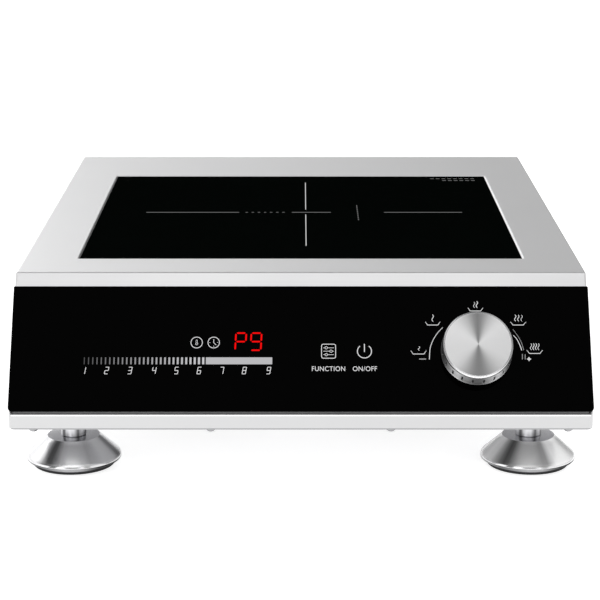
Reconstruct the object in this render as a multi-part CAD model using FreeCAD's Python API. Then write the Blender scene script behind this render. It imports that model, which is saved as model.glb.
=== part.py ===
# Countertop induction hob: stainless casing, ceramic glass cooking plate, sloped black glass
# control panel with an aluminium rotary knob, and four chromed levelling feet.
# Frame: +X right, +Y towards the back, +Z up, origin on the bench under the middle of the hob.
# Pieces are modelled with y = 0 at the front bend of the top; export() shifts them to the origin.
import FreeCAD, Part
import math
import os

Vector = FreeCAD.Vector

# ---------------------------------------------------------------- driving sizes, mm
CASE_W = 400.0
TOP_DEPTH = 459.4           # flat top, front bend to rear panel
FEET_H = 36.0               # bench to underside of the base plate
TOP_Z = 133.2               # height of the steel top above the bench
SLOPE = 34.3                # sloped front, degrees from vertical
FASCIA_L = 103.6            # length of the sloped front along the slope
SHEET = 1.5                 # casing sheet
BASE_SHEET = 1.2
REAR_SHEET = 1.2
BEND_R = 1.5                # outside bend radius of the casing
FLANGE_W = 14.0             # return flanges, from the outside of the casing

GLASS_W = 320.0             # cooking plate, square
GLASS_T = 4.0
GLASS_GAP = 0.9             # silicone joint round the plate
GLASS_SINK = 0.4            # plate below the steel rim
GLASS_Y = 203.4             # plate centre behind the front bend

PANEL_TOP = 12.3            # sloped distances from the front bend to the control glass edges
PANEL_BOTTOM = FASCIA_L
GASKET_T = 1.0
PANEL_GLASS_T = 4.0
PANEL_CHAMFER = 0.35

KNOB_X, KNOB_Y = 121.0, -60.2   # knob centre in the panel frame
KNOB_R = 24.7
KNOB_TOP_R = 23.8
KNOB_H = 14.6
KNOB_GAP = 0.6
KNOB_TICKS = 20

FAN_X, FAN_Y = 70.0, 85.0   # fan centres at -FAN_X and +FAN_X
FAN_HALF = 60.0
FAN_H = 25.0
CABLE_TAIL = 58.0           # mains cable left standing out of the rear

# ---------------------------------------------------------------- worked-out levels and places
SIN, COS = math.sin(math.radians(SLOPE)), math.cos(math.radians(SLOPE))
HALF_W = CASE_W / 2
SHELL_Z = FEET_H + BASE_SHEET       # underside of the casing flanges, top of the base plate
TOP_UNDER = TOP_Z - SHEET
FRONT_Y = -FASCIA_L * SIN           # upright strip below the sloped front
FRONT_Z = TOP_Z - FASCIA_L * COS
REAR_FACE = TOP_DEPTH + REAR_SHEET
CABLE_END = REAR_FACE + CABLE_TAIL

PANEL_FACE = GASKET_T + PANEL_GLASS_T       # glass face above the sloped sheet
KNOB_Z = PANEL_FACE + KNOB_GAP              # knob underside above the sloped sheet
# knob outline from the skirt to the flat face: radius, height above the knob underside
KNOB_SIDE = [
    (KNOB_R, 0.0), (KNOB_R, 1.3), (KNOB_R - 0.15, 1.45),
    (KNOB_R - 0.75, 1.5), (KNOB_R - 0.75, 2.1), (KNOB_R - 0.4, 2.2),
    (KNOB_TOP_R + 0.35, KNOB_H - 2.4), (KNOB_TOP_R + 0.2, KNOB_H - 1.9),
    (KNOB_TOP_R - 0.1, KNOB_H - 1.2), (KNOB_TOP_R - 0.6, KNOB_H - 0.55),
    (KNOB_TOP_R - 1.3, KNOB_H - 0.12), (KNOB_TOP_R - 1.9, KNOB_H)]

# the foremost point is on the knob or the lower edge of the control glass
FOREMOST_Y = min([(KNOB_Y - radius) * SIN - (KNOB_Z + height) * COS
                  for radius, height in KNOB_SIDE]
                 + [-(PANEL_BOTTOM - PANEL_CHAMFER) * SIN - PANEL_FACE * COS])
ORIGIN_SHIFT = -(CABLE_END + FOREMOST_Y) / 2.0      # puts the origin mid-way in depth

BASE_SCREWS = ([(x, FRONT_Y + 6.6) for x in (-184, -62, 62, 184)]
               + [(x, TOP_DEPTH - 7.0) for x in (-184, -62, 62, 184)]
               + [(side * (HALF_W - 7.0), y) for side in (-1, 1) for y in (60, 190, 320)])
REAR_SCREWS = [(side * 191.5, z) for side in (-1, 1) for z in (54, 116)]     # (x, z)
REAR_SCREWS += [(-75, 125.0), (75, 125.0)]
GLAND_X, GLAND_Z = 155.0, 68.0
EARTH_X, EARTH_Z = -160.0, 62.0
FOOT_X = 160.0
FOOT_Y = {"front": -21.3, "rear": 418.4}
FEET = {"%s_%s" % (end, hand): (side * FOOT_X, y)
        for hand, side in (("left", -1), ("right", 1)) for end, y in FOOT_Y.items()}
FAN_HOLES = [(side * FAN_X + dx, FAN_Y + dy)
             for side in (-1, 1) for dx in (-52.5, 52.5) for dy in (-52.5, 52.5)]


# ---------------------------------------------------------------- helpers
def export(name, shapes):
    """Write the solids of a shape, or of a list of shapes, as one STEP file."""
    if not isinstance(shapes, list):
        shapes = [shapes]
    solids = [solid for shape in shapes for solid in shape.Solids]
    piece = solids[0] if len(solids) == 1 else Part.makeCompound(solids)
    moved(piece, 0, ORIGIN_SHIFT, 0).exportStep("parts/%s.step" % name)


def moved(shape, x, y, z, tilt=0.0):
    """Copy, tilted in degrees about the X axis, then shifted."""
    copy = shape.copy()
    if tilt:
        copy.rotate(Vector(0, 0, 0), Vector(1, 0, 0), tilt)
    copy.translate(Vector(x, y, z))
    return copy


def to_panel(shape):
    """From the panel frame to the sloped front: x across, y up the slope from the front
    bend, z outwards from the sheet."""
    return moved(shape, 0, 0, TOP_Z, tilt=90.0 - SLOPE)


def panel_point(y, z):
    """(y, z) in the panel frame as (y, z) of the hob."""
    return y * SIN - z * COS, TOP_Z + y * COS + z * SIN


def box(x0, x1, y0, y1, z0, z1):
    return Part.makeBox(x1 - x0, y1 - y0, z1 - z0, Vector(x0, y0, z0))


def cylinder(x, y, z0, z1, radius):
    return Part.makeCylinder(radius, z1 - z0, Vector(x, y, z0), Vector(0, 0, 1))


def cylinder_y(x, z, y0, y1, radius):
    return Part.makeCylinder(radius, y1 - y0, Vector(x, y0, z), Vector(0, 1, 0))


def tube(x, y, z0, z1, outer_r, inner_r):
    return cylinder(x, y, z0, z1, outer_r).cut(cylinder(x, y, z0 - 1, z1 + 1, inner_r))


def polygon_face(points):
    return Part.Face(Part.makePolygon(points + points[:1]))


def prism_x(points, x0, x1):
    """Outline of (y, z) points extruded along X."""
    return polygon_face([Vector(x0, y, z) for y, z in points]).extrude(Vector(x1 - x0, 0, 0))


def hexagon(x, y, z0, z1, across_flats):
    radius = across_flats / math.sqrt(3)
    corners = [Vector(x + radius * math.cos(math.radians(60 * k)),
                      y + radius * math.sin(math.radians(60 * k)), z0) for k in range(6)]
    return polygon_face(corners).extrude(Vector(0, 0, z1 - z0))


def nut_y(x, z, y0, y1, across_flats, bore_r):
    """Bored hexagon along Y."""
    solid = moved(hexagon(0, 0, 0, y1 - y0, across_flats), x, y0, z, tilt=-90)
    return solid.cut(cylinder_y(x, z, y0 - 1, y1 + 1, bore_r))


def revolve(points, x, y):
    """Solid of revolution about the vertical axis at x, y. Points are (radius, z)."""
    face = polygon_face([Vector(radius, 0, z) for radius, z in points])
    return moved(face.revolve(Vector(0, 0, 0), Vector(0, 0, 1), 360), x, y, 0)


def revolve_y(points, x, z):
    """Solid of revolution about the Y axis at x, z. Points are (radius, y)."""
    face = polygon_face([Vector(radius, y, 0) for radius, y in points])
    return moved(face.revolve(Vector(0, 0, 0), Vector(0, 1, 0), 360), x, 0, z)


def spoke(x, y, angle, start, length, width, z, height):
    """Bar from radius start outwards, turned by angle about the vertical axis at x, y."""
    bar = Part.makeBox(length, width, height, Vector(start, -width / 2, z))
    bar.rotate(Vector(0, 0, 0), Vector(0, 0, 1), angle)
    bar.translate(Vector(x, y, 0))
    return bar


def near(value, target, tol=0.05):
    return abs(value - target) < tol


def fillet_where(shape, radius, test):
    return shape.makeFillet(radius, [edge for edge in shape.Edges if test(edge)])


def round_upright(block, radius):
    """Fillet the vertical edges of a plain block."""
    return fillet_where(block, radius, lambda edge: edge.BoundBox.ZLength > 1.0)


def round_sweep(path, start, direction, radius):
    """Round bar swept along a wire."""
    profile = Part.Wire([Part.Edge(Part.Circle(start, direction, radius))])
    swept = path.makePipeShell([profile], True, True)
    # the sweep may come back as a closed shell
    return swept if swept.ShapeType == "Solid" else Part.Solid(swept)


def spring(x, y, z0, z1, radius, wire_r, turns):
    rise = z1 - z0 - 2 * wire_r
    helix = Part.makeHelix(rise / turns, rise, radius)
    coil = round_sweep(Part.Wire(helix.Edges), Vector(radius, 0, 0), Vector(0, 1, 0), wire_r)
    return moved(coil, x, y, z0 + wire_r)


def routed_lead(points, radius, bend_r):
    """Round lead along straight runs joined by tangent bends, tightened where room is short."""
    stops = [Vector(*point) for point in points]
    edges = []
    last = stops[0]
    for before, corner, after in zip(stops, stops[1:], stops[2:]):
        back = (before - corner).normalize()
        ahead = (after - corner).normalize()
        half_angle = math.acos(max(-1.0, min(1.0, back.dot(ahead)))) / 2.0
        room = min((corner - last).Length, (after - corner).Length * 0.48) * 0.98
        arc_r = min(bend_r, room * math.tan(half_angle))
        setback = arc_r / math.tan(half_angle)
        arc_start = corner + back * setback
        arc_end = corner + ahead * setback
        arc_mid = corner + (back + ahead).normalize() * (arc_r / math.sin(half_angle) - arc_r)
        edges.append(Part.makeLine(last, arc_start))
        edges.append(Part.Arc(arc_start, arc_mid, arc_end).toShape())
        last = arc_end
    edges.append(Part.makeLine(last, stops[-1]))
    return round_sweep(Part.Wire(edges), stops[0], (stops[1] - stops[0]).normalize(), radius)


def strip_outline(points, thickness):
    """Outline of a strip along a 2-D path, mitred at the corners."""
    left, right = [], []
    directions = []
    for (x0, y0), (x1, y1) in zip(points, points[1:]):
        length = math.hypot(x1 - x0, y1 - y0)
        directions.append(((x1 - x0) / length, (y1 - y0) / length))
    for i, (x, y) in enumerate(points):
        meeting = directions[max(i - 1, 0):i + 1]
        normal_x = -sum(along[1] for along in meeting)
        normal_y = sum(along[0] for along in meeting)
        length = math.hypot(normal_x, normal_y)
        normal_x, normal_y = normal_x / length, normal_y / length
        along_x, along_y = meeting[0]
        mitre = 1.0 / max(0.3, abs(-along_y * normal_x + along_x * normal_y))
        offset_x = normal_x * thickness / 2 * mitre
        offset_y = normal_y * thickness / 2 * mitre
        left.append((x + offset_x, y + offset_y))
        right.append((x - offset_x, y - offset_y))
    return left + right[::-1]


def pan_screw(head_r, head_h, shank_r, shank_l):
    """Cross-head screw standing on z = 0 with its head below, shank up."""
    dome_r = (head_r * head_r + head_h * head_h) / (2 * head_h)
    head = Part.makeSphere(dome_r, Vector(0, 0, -head_h + dome_r))
    head = head.common(cylinder(0, 0, -head_h, -head_h + head_h * 0.999, head_r))
    head = head.common(cylinder(0, 0, -head_h, 0, head_r - 0.05))
    arm, half_slot = head_r * 0.55, 0.45
    cross = box(-half_slot, half_slot, -arm, arm, -head_h, -head_h + 1.0).fuse(
        box(-arm, arm, -half_slot, half_slot, -head_h, -head_h + 1.0))
    return head.cut(cross).fuse(cylinder(0, 0, -0.2, shank_l, shank_r)).removeSplitter()


# ---------------------------------------------------------------- casing
GLASS_OPEN = GLASS_W / 2 + GLASS_GAP            # half the opening for the cooking plate
WINDOW = (-157, 62, -77.5, -41)                 # display and touch keys: x0, x1, y0, y1 on panel


def casing_block():
    """Outer form of the casing with its bends rounded."""
    block = prism_x([(TOP_DEPTH, SHELL_Z), (TOP_DEPTH, TOP_Z), (0, TOP_Z),
                     (FRONT_Y, FRONT_Z), (FRONT_Y, SHELL_Z)], -HALF_W, HALF_W)

    def is_bend(edge):
        bounds, centre = edge.BoundBox, edge.BoundBox.Center
        if bounds.XLength > CASE_W - 1:
            return near(centre.z, TOP_Z) or near(centre.z, FRONT_Z)
        top_side = near(centre.z, TOP_Z) and bounds.YLength > 100
        slope_side = bounds.ZLength > 50 and bounds.YLength > 50
        post = bounds.YLength < 0.01 and bounds.ZLength > 5
        return near(abs(centre.x), HALF_W) and (top_side or slope_side or post)

    return fillet_where(block, BEND_R, is_bend)


def top_shell():
    # inside faces are the outside faces moved in by the sheet thickness
    hollow = prism_x(
        [(TOP_DEPTH - SHEET, SHELL_Z - 5), (TOP_DEPTH - SHEET, TOP_UNDER),
         (SHEET * (1 - SIN) / COS, TOP_UNDER),
         (FRONT_Y + SHEET, FRONT_Z - SHEET * (1 - COS) / SIN), (FRONT_Y + SHEET, SHELL_Z - 5)],
        -HALF_W + SHEET, HALF_W - SHEET)
    shell = casing_block().cut(hollow)

    # bottom return flanges, let 0.2 into the walls
    inset = SHEET - 0.2
    flange_x = HALF_W - FLANGE_W
    flange = box(-HALF_W + inset, HALF_W - inset, FRONT_Y + inset, TOP_DEPTH - inset,
                 SHELL_Z, SHELL_Z + SHEET)
    flange = flange.cut(box(-flange_x, flange_x, FRONT_Y + FLANGE_W, TOP_DEPTH - FLANGE_W,
                            SHELL_Z - 1, SHELL_Z + SHEET + 1))
    shell = shell.fuse(flange)
    # rear opening, leaving a return flange all round it
    shell = shell.cut(box(-flange_x, flange_x, TOP_DEPTH - 5, TOP_DEPTH + 5,
                          SHELL_Z + 8.0, TOP_UNDER - FLANGE_W + SHEET))

    opening = box(-GLASS_OPEN, GLASS_OPEN, GLASS_Y - GLASS_OPEN, GLASS_Y + GLASS_OPEN,
                  TOP_UNDER - 2, TOP_Z + 2)
    shell = shell.cut(round_upright(opening, 1.2))

    def is_opening_rim(edge):
        centre, reach = edge.BoundBox.Center, GLASS_OPEN + 0.1
        return (near(centre.z, TOP_Z, 0.02) and abs(centre.x) < reach
                and abs(centre.y - GLASS_Y) < reach and edge.BoundBox.ZLength < 0.01)

    shell = fillet_where(shell, 0.6, is_opening_rim)
    shell = shell.cut(to_panel(box(*WINDOW, -4, 3)))
    shell = shell.cut(to_panel(cylinder(KNOB_X, KNOB_Y, -4, 3, 3.7)))
    # corner relief where three folds meet
    for side in (-1, 1):
        corner = Vector(side * (HALF_W - 0.75), 0.9, TOP_Z - 0.75)
        shell = shell.cut(Part.makeSphere(0.85, corner))
    for x, y in BASE_SCREWS:
        shell = shell.cut(cylinder(x, y, SHELL_Z - 1, SHELL_Z + SHEET + 1, 1.95))
    for x, z in REAR_SCREWS:
        shell = shell.cut(cylinder_y(x, z, TOP_DEPTH - 4, TOP_DEPTH + 2, 1.55))
    return shell


def slot(x0, x1, y, width, z0, z1):
    """Round-ended slot cutter along X."""
    radius = width / 2.0
    middle = box(x0 + radius, x1 - radius, y - radius, y + radius, z0, z1)
    ends = [cylinder(x, y, z0, z1, radius) for x in (x0 + radius, x1 - radius)]
    return middle.fuse(ends).removeSplitter()


def bottom_plate():
    margin = 0.8
    plate = round_upright(box(-HALF_W + margin, HALF_W - margin, FRONT_Y + margin,
                              TOP_DEPTH - margin, FEET_H, SHELL_Z), 3.0)
    z0, z1 = FEET_H - 1, FEET_H + 3
    cuts = []
    # air inlet: a round field of slots under each fan, split down the middle
    inlet_r, slot_pitch, half_bridge = 54.0, 9.5, 3
    for fan_x in (-FAN_X, FAN_X):
        for k in range(-5, 6):
            y = k * slot_pitch
            half = math.sqrt(inlet_r ** 2 - y * y)
            cuts.append(slot(fan_x - half, fan_x - half_bridge, FAN_Y + y, 5.0, z0, z1))
            cuts.append(slot(fan_x + half_bridge, fan_x + half, FAN_Y + y, 5.0, z0, z1))
    cuts += [cylinder(x, y, z0, z1, 6.5) for x, y in FEET.values()]
    cuts += [cylinder(x, y, z0, z1, 2.2) for x, y in BASE_SCREWS + FAN_HOLES]
    return plate.cut(cuts)


def rear_panel():
    """Rear panel with exhaust slots."""
    panel = box(-197, 197, TOP_DEPTH, REAR_FACE, FEET_H + 4.0, TOP_Z - 2.5)
    panel = fillet_where(panel, 4.0, lambda edge: near(edge.BoundBox.YLength, REAR_SHEET)
                         and edge.BoundBox.XLength < 0.01)
    y0, y1 = TOP_DEPTH - 3, TOP_DEPTH + 3
    slot_pitch, slot_r, slot_z0, slot_z1 = 10.5, 2.5, 62.5, 108.5
    cuts = []
    for i in range(-11, 12):
        x = i * slot_pitch
        middle = box(x - slot_r, x + slot_r, y0, y1, slot_z0, slot_z1)
        ends = [cylinder_y(x, z, y0, y1, slot_r) for z in (slot_z0, slot_z1)]
        cuts.append(middle.fuse(ends).removeSplitter())
    cuts.append(cylinder_y(GLAND_X, GLAND_Z, y0, y1, 12.6))
    cuts.append(cylinder_y(EARTH_X, EARTH_Z, y0, y1, 3.1))
    cuts += [cylinder_y(x, z, y0, y1, 1.8) for x, z in REAR_SCREWS]
    return panel.cut(cuts)


def casing_screws():
    base_screw = pan_screw(head_r=4.0, head_h=3.2, shank_r=1.9, shank_l=8.0)
    rear_screw = pan_screw(head_r=3.0, head_h=2.2, shank_r=1.5, shank_l=7.0)
    return ([moved(base_screw, x, y, FEET_H) for x, y in BASE_SCREWS]
            + [moved(rear_screw, x, REAR_FACE, z, tilt=90) for x, z in REAR_SCREWS])


# ---------------------------------------------------------------- cooking plate and its support
GLASS_Z1 = TOP_Z - GLASS_SINK
GLASS_Z0 = GLASS_Z1 - GLASS_T
LEDGE_Z = GLASS_Z0 - 0.25           # top of the ledge under the plate
FRAME_SHEET = 1.2


def square(half, z0, z1):
    """Square block centred on the cooking plate."""
    return box(-half, half, GLASS_Y - half, GLASS_Y + half, z0, z1)


def square_ring(inner, outer, z0, z1):
    return square(outer, z0, z1).cut(square(inner, z0 - 1, z1 + 1))


def cooktop_glass():
    glass = round_upright(square(GLASS_W / 2, GLASS_Z0, GLASS_Z1), 1.0)
    rim = [edge for edge in glass.Edges if near(edge.BoundBox.ZMin, GLASS_Z1, 0.01)]
    return glass.makeChamfer(0.25, rim)


def glass_support_frame():
    wall_out = GLASS_OPEN + FRAME_SHEET
    top_flange = square_ring(GLASS_OPEN, 178.0, TOP_UNDER - FRAME_SHEET, TOP_UNDER)
    wall = square_ring(GLASS_OPEN, wall_out, LEDGE_Z - FRAME_SHEET, TOP_UNDER)
    ledge = square_ring(149.0, wall_out, LEDGE_Z - FRAME_SHEET, LEDGE_Z)
    return top_flange.fuse([wall, ledge]).removeSplitter()


def cooktop_seal():
    seal = round_upright(square(GLASS_OPEN - 0.02, LEDGE_Z, TOP_Z - 0.75), 1.3)
    seal = seal.cut(square(151, LEDGE_Z - 1, TOP_Z))
    return seal.cut(cooktop_glass())


# ---------------------------------------------------------------- sloped control panel
# Everything here is in the panel frame until to_panel().
BOARD_FACE = -13.0          # front face of the control board
BOARD_T = 1.6               # thickness of every circuit board
BOARD_BACK = BOARD_FACE - BOARD_T
MODULE_FACE = 0.7           # front face of the display parts
PANEL_STANDOFFS = [(-170, -32), (-170, -88), (175, -32), (175, -88)]


def control_glass():
    glass = box(-HALF_W, HALF_W, -PANEL_BOTTOM, -PANEL_TOP, GASKET_T, PANEL_FACE)
    # lower corners, then upper corners
    for radius, edge_y in ((3.2, -PANEL_BOTTOM), (0.8, -PANEL_TOP)):
        glass = fillet_where(glass, radius, lambda edge: edge.BoundBox.ZLength > 3
                             and near(edge.BoundBox.Center.y, edge_y))
    rim = [edge for edge in glass.Edges if near(edge.BoundBox.ZMin, PANEL_FACE, 0.01)]
    glass = glass.makeChamfer(PANEL_CHAMFER, rim)
    return to_panel(glass.cut(cylinder(KNOB_X, KNOB_Y, -1, 9, 8.0)))


def control_gasket():
    gasket = box(-HALF_W + 2, HALF_W - 2, -PANEL_BOTTOM + 3.0, -PANEL_TOP - 2, 0, GASKET_T)
    return to_panel(gasket.cut([box(*WINDOW, -1, 3), cylinder(KNOB_X, KNOB_Y, -1, 3, 9.0)]))


def control_board_blank():
    return box(-178, 183, -94, -27, BOARD_BACK, BOARD_FACE)


def control_board():
    board = round_upright(control_board_blank(), 2.0)
    for x, y in PANEL_STANDOFFS:
        board = board.cut(cylinder(x, y, BOARD_FACE - 3, BOARD_FACE + 1, 1.7))
    return to_panel(board)


def display_module():
    """Two seven-segment digits engraved in one block."""
    digit_x, digit_y = (-41.5, -31.0), -53.2
    # segments: x and y from the digit centre, width, height
    segments = [(0, 6.6, 5.0, 1.5), (0, 0, 5.0, 1.5), (0, -6.6, 5.0, 1.5),
                (-3.6, 3.3, 1.5, 4.6), (3.6, 3.3, 1.5, 4.6),
                (-3.6, -3.3, 1.5, 4.6), (3.6, -3.3, 1.5, 4.6)]
    block = round_upright(box(-49.5, -23.5, -63.5, -43.0, BOARD_FACE, MODULE_FACE), 0.6)
    cuts = []
    for centre_x in digit_x:
        for dx, dy, width, height in segments:
            x, y = centre_x + dx, digit_y + dy
            cuts.append(box(x - width / 2, x + width / 2, y - height / 2, y + height / 2,
                            0.4, 1.0))
    return to_panel(block.cut(cuts))


def level_bar_module():
    bar_x, bar_pitch, bar_w = -149.5, 2.8, 1.4
    block = box(-151, -18, -71.8, -64.3, BOARD_FACE, MODULE_FACE)
    bars = []
    for i in range(46):
        x = bar_x + i * bar_pitch
        bars.append(box(x, x + bar_w, -70.8, -65.3, 0.3, 1.0))
    return to_panel(block.cut(bars))


def indicator_leds():
    return [to_panel(cylinder(x, -53.8, BOARD_FACE, MODULE_FACE, 2.6)) for x in (-71.85, -60.1)]


def touch_springs():
    return [to_panel(spring(x, KNOB_Y, BOARD_FACE + 0.05, 0.95, radius=5.0, wire_r=0.6, turns=5))
            for x in (19.1, 43.8)]


# ---------------------------------------------------------------- encoder and knob
KNOB_UNDER_TOP = KNOB_Z + KNOB_H - 3.0      # underside of the knob's flat top


def at_knob(z0, z1, radius):
    return cylinder(KNOB_X, KNOB_Y, z0, z1, radius)


def shaft_flat(start, z0, z1):
    """Block beyond the flat of the D-shaped shaft."""
    return box(KNOB_X + start, KNOB_X + 4, KNOB_Y - 4, KNOB_Y + 4, z0, z1)


def encoder_body():
    body = box(KNOB_X - 6.5, KNOB_X + 6.5, KNOB_Y - 6.5, KNOB_Y + 6.5, BOARD_FACE, -4.0)
    body = body.fuse(at_knob(-4.0, 5.5, 3.5)).removeSplitter()
    return to_panel(body.cut(at_knob(-9.0, 10, 3.05)))


def encoder_nut():
    return to_panel(hexagon(KNOB_X, KNOB_Y, 0.0, 2.2, 10.0).cut(at_knob(-1, 5, 3.52)))


def encoder_shaft():
    shaft = at_knob(-8.8, KNOB_Z + 9.5, 3.0)
    return to_panel(shaft.cut(shaft_flat(1.5, KNOB_Z + 2.5, KNOB_Z + 10)))


def knob_cap():
    bore_r = 20.6
    outline = ([(bore_r, KNOB_Z)] + [(radius, KNOB_Z + height) for radius, height in KNOB_SIDE]
               + [(0, KNOB_Z + KNOB_H), (0, KNOB_UNDER_TOP), (bore_r, KNOB_UNDER_TOP)])
    ticks = [spoke(KNOB_X, KNOB_Y, 360.0 * (k + 0.5) / KNOB_TICKS, start=KNOB_R - 0.72,
                   length=2.0, width=0.55, z=KNOB_Z + 2.15, height=7.2)
             for k in range(KNOB_TICKS)]
    return to_panel(revolve(outline, KNOB_X, KNOB_Y).cut(ticks))


def knob_core():
    core_r, floor_z = 20.55, KNOB_Z + 0.8
    core = tube(KNOB_X, KNOB_Y, floor_z, KNOB_UNDER_TOP, core_r, 18.4)
    core = core.fuse([at_knob(KNOB_UNDER_TOP - 2.4, KNOB_UNDER_TOP, core_r),
                      at_knob(floor_z, KNOB_UNDER_TOP - 1.0, 6.0)])
    for angle in (0, 60, 120):
        core = core.fuse(spoke(KNOB_X, KNOB_Y, angle, start=-19.0, length=38.0, width=1.4,
                               z=KNOB_UNDER_TOP - 9.6, height=9.0))
    core = core.removeSplitter()
    shaft_bore = at_knob(KNOB_Z, KNOB_Z + 9.7, 3.03)
    shaft_bore = shaft_bore.cut(shaft_flat(1.53, KNOB_Z + 2.65, KNOB_Z + 11))
    return to_panel(core.cut(shaft_bore))


# ---------------------------------------------------------------- induction coil assembly
COIL_X, COIL_Y = 3.6, 208.6
COIL_R_IN = 30.0
COIL_PITCH = 4.2
COIL_WIRE = 3.4
COIL_TURNS = 21
CARRIER_Z = TOP_Z - 16.5        # underside of the carrier
CARRIER_TOP = CARRIER_Z + 4.0
COIL_TOP = CARRIER_TOP + 3.6
LEAD_HOLE = (COIL_X + 24, COIL_Y - 13)
COIL_POSTS = [(COIL_X + sx * 116.0, COIL_Y + sy * 52.0) for sx in (-1, 1) for sy in (-1, 1)]
SPRING_SEAT = CARRIER_Z - 15.0


def coil_carrier():
    carrier = cylinder(COIL_X, COIL_Y, CARRIER_Z, CARRIER_TOP, 124.0)
    for x, y in COIL_POSTS:
        carrier = carrier.fuse(cylinder(x, y, CARRIER_Z, CARRIER_TOP, 10.0))
    carrier = carrier.removeSplitter()
    # holes: x, y, radius
    holes = [(COIL_X, COIL_Y, 7.0), (*LEAD_HOLE, 2.6)]
    holes += [(x, y, 2.8) for x, y in COIL_POSTS]
    for k in range(12):
        angle = math.radians(30 * k + 15)
        for ring_r in (55.0, 85.0):
            holes.append((COIL_X + ring_r * math.cos(angle),
                          COIL_Y + ring_r * math.sin(angle), 7.0))
    return carrier.cut([cylinder(x, y, CARRIER_Z - 1, CARRIER_Z + 6, radius)
                        for x, y, radius in holes])


def spiral_edges(radius):
    """Spiral drawn as half-circles about two alternating centres."""
    edges = []
    half_pitch = COIL_PITCH / 2.0
    for k in range(COIL_TURNS * 2):
        side = 1 if k % 2 == 0 else -1
        centre = 0.0 if k % 2 == 0 else half_pitch
        edges.append(Part.Arc(Vector(centre + side * radius, 0, 0),
                              Vector(centre, side * radius, 0),
                              Vector(centre - side * radius, 0, 0)).toShape())
        radius += half_pitch
    return edges


def induction_coil():
    """One flat spiral conductor."""
    inner = spiral_edges(COIL_R_IN)
    outer = spiral_edges(COIL_R_IN + COIL_WIRE)
    outer_end = Part.makeLine(inner[-1].Vertexes[-1].Point, outer[-1].Vertexes[-1].Point)
    inner_end = Part.makeLine(outer[0].Vertexes[0].Point, inner[0].Vertexes[0].Point)
    outline = Part.Wire(Part.__sortEdges__(inner + [outer_end] + outer + [inner_end]))
    coil = Part.Face(outline).extrude(Vector(0, 0, COIL_TOP - CARRIER_TOP))
    return moved(coil, COIL_X, COIL_Y, CARRIER_TOP)


def mica_insulator():
    return tube(COIL_X, COIL_Y, COIL_TOP, COIL_TOP + 0.6, 122.0, 12.0)


def ferrite_bars():
    return [spoke(COIL_X, COIL_Y, 30.0 * k, start=36.0, length=70.0, width=13.0,
                  z=CARRIER_Z - 5.0, height=5.0) for k in range(12)]


def temperature_sensor():
    flange_top = CARRIER_TOP + 1.5
    return revolve([(0, CARRIER_Z - 3.0), (5.5, CARRIER_Z - 3.0), (5.5, CARRIER_TOP),
                    (11.0, CARRIER_TOP), (11.0, flange_top), (6.5, flange_top),
                    (6.5, GLASS_Z0 - 0.3), (5.5, GLASS_Z0), (0, GLASS_Z0)], COIL_X, COIL_Y)


def coil_support_posts():
    foot_top, collar_z, tip_z = SHELL_Z + 3.0, SPRING_SEAT - 2.0, CARRIER_Z + 6.5
    outline = [(0, SHELL_Z), (6.0, SHELL_Z), (6.0, foot_top), (4.0, foot_top),
               (4.0, collar_z), (6.5, collar_z), (6.5, SPRING_SEAT), (2.6, SPRING_SEAT),
               (2.6, tip_z), (0, tip_z)]
    return [revolve(outline, x, y) for x, y in COIL_POSTS]


def coil_springs():
    return [spring(x, y, SPRING_SEAT + 0.02, CARRIER_Z - 0.02, radius=4.4, wire_r=0.7, turns=5)
            for x, y in COIL_POSTS]


# ---------------------------------------------------------------- power electronics
PCB_Z0 = SHELL_Z + 8.0
PCB_Z1 = PCB_Z0 + BOARD_T
SINK_Z = PCB_Z1 + 4.4           # underside of the heat sink
POWER_STANDOFFS = [(-95, 174), (102, 174), (-95, 366), (102, 366)]
FILTER_STANDOFFS = [(-182, 276), (-138, 276), (-182, 390), (-138, 390)]


def circuit_board(x0, x1, y0, y1, hole_places):
    board = round_upright(box(x0, x1, y0, y1, PCB_Z0, PCB_Z1), 3.0)
    for x, y in hole_places:
        board = board.cut(cylinder(x, y, PCB_Z0 - 1, PCB_Z1 + 1, 1.7))
    return board


def power_board():
    return circuit_board(-101, 108, 168, 372, POWER_STANDOFFS)


def filter_board():
    return circuit_board(-188, -132, 270, 396, FILTER_STANDOFFS)


def board_standoffs():
    standoffs = []
    for x, y in PANEL_STANDOFFS:
        bore = cylinder(x, y, BOARD_FACE - 1, BOARD_FACE + 8, 1.5)
        standoffs.append(to_panel(cylinder(x, y, BOARD_FACE, -SHEET, 3.0).cut(bore)))
    for x, y in POWER_STANDOFFS + FILTER_STANDOFFS:
        bore = cylinder(x, y, PCB_Z0 - 6, PCB_Z0 + 1, 1.5)
        standoffs.append(cylinder(x, y, SHELL_Z, PCB_Z0, 3.5).cut(bore))
    return standoffs


def heat_sink():
    x0, x1, y0, y1 = -62, 62, 182, 332
    fin_pitch, fin_t = 8.133, 2
    sink = box(x0, x1, y0, y1, SINK_Z, SINK_Z + 6.0)
    fins = [box(x0 + i * fin_pitch, x0 + fin_t + i * fin_pitch, y0, y1,
                SINK_Z + 5.0, SINK_Z + 42.0) for i in range(16)]
    return sink.fuse(fins).removeSplitter()


def power_transistors():
    transistors = []
    for i in range(4):
        x = -44 + i * 24.0
        body = box(x - 8, x + 8, 200, 221, PCB_Z1, SINK_Z)
        legs = [box(x - 0.6 + dx, x + 0.6 + dx, 190, 200, PCB_Z1 + 0.6, PCB_Z1 + 1.4)
                for dx in (-5.4, 0, 5.4)]
        transistors.append(body.fuse(legs).removeSplitter())
    return transistors


def bridge_rectifier():
    body = box(-16, 16, 262, 284, PCB_Z1, SINK_Z)
    legs = [box(-12.6 + 8 * k, -11.4 + 8 * k, 284, 292, PCB_Z1 + 0.6, PCB_Z1 + 1.6)
            for k in range(4)]
    return body.fuse(legs).removeSplitter()


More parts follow.
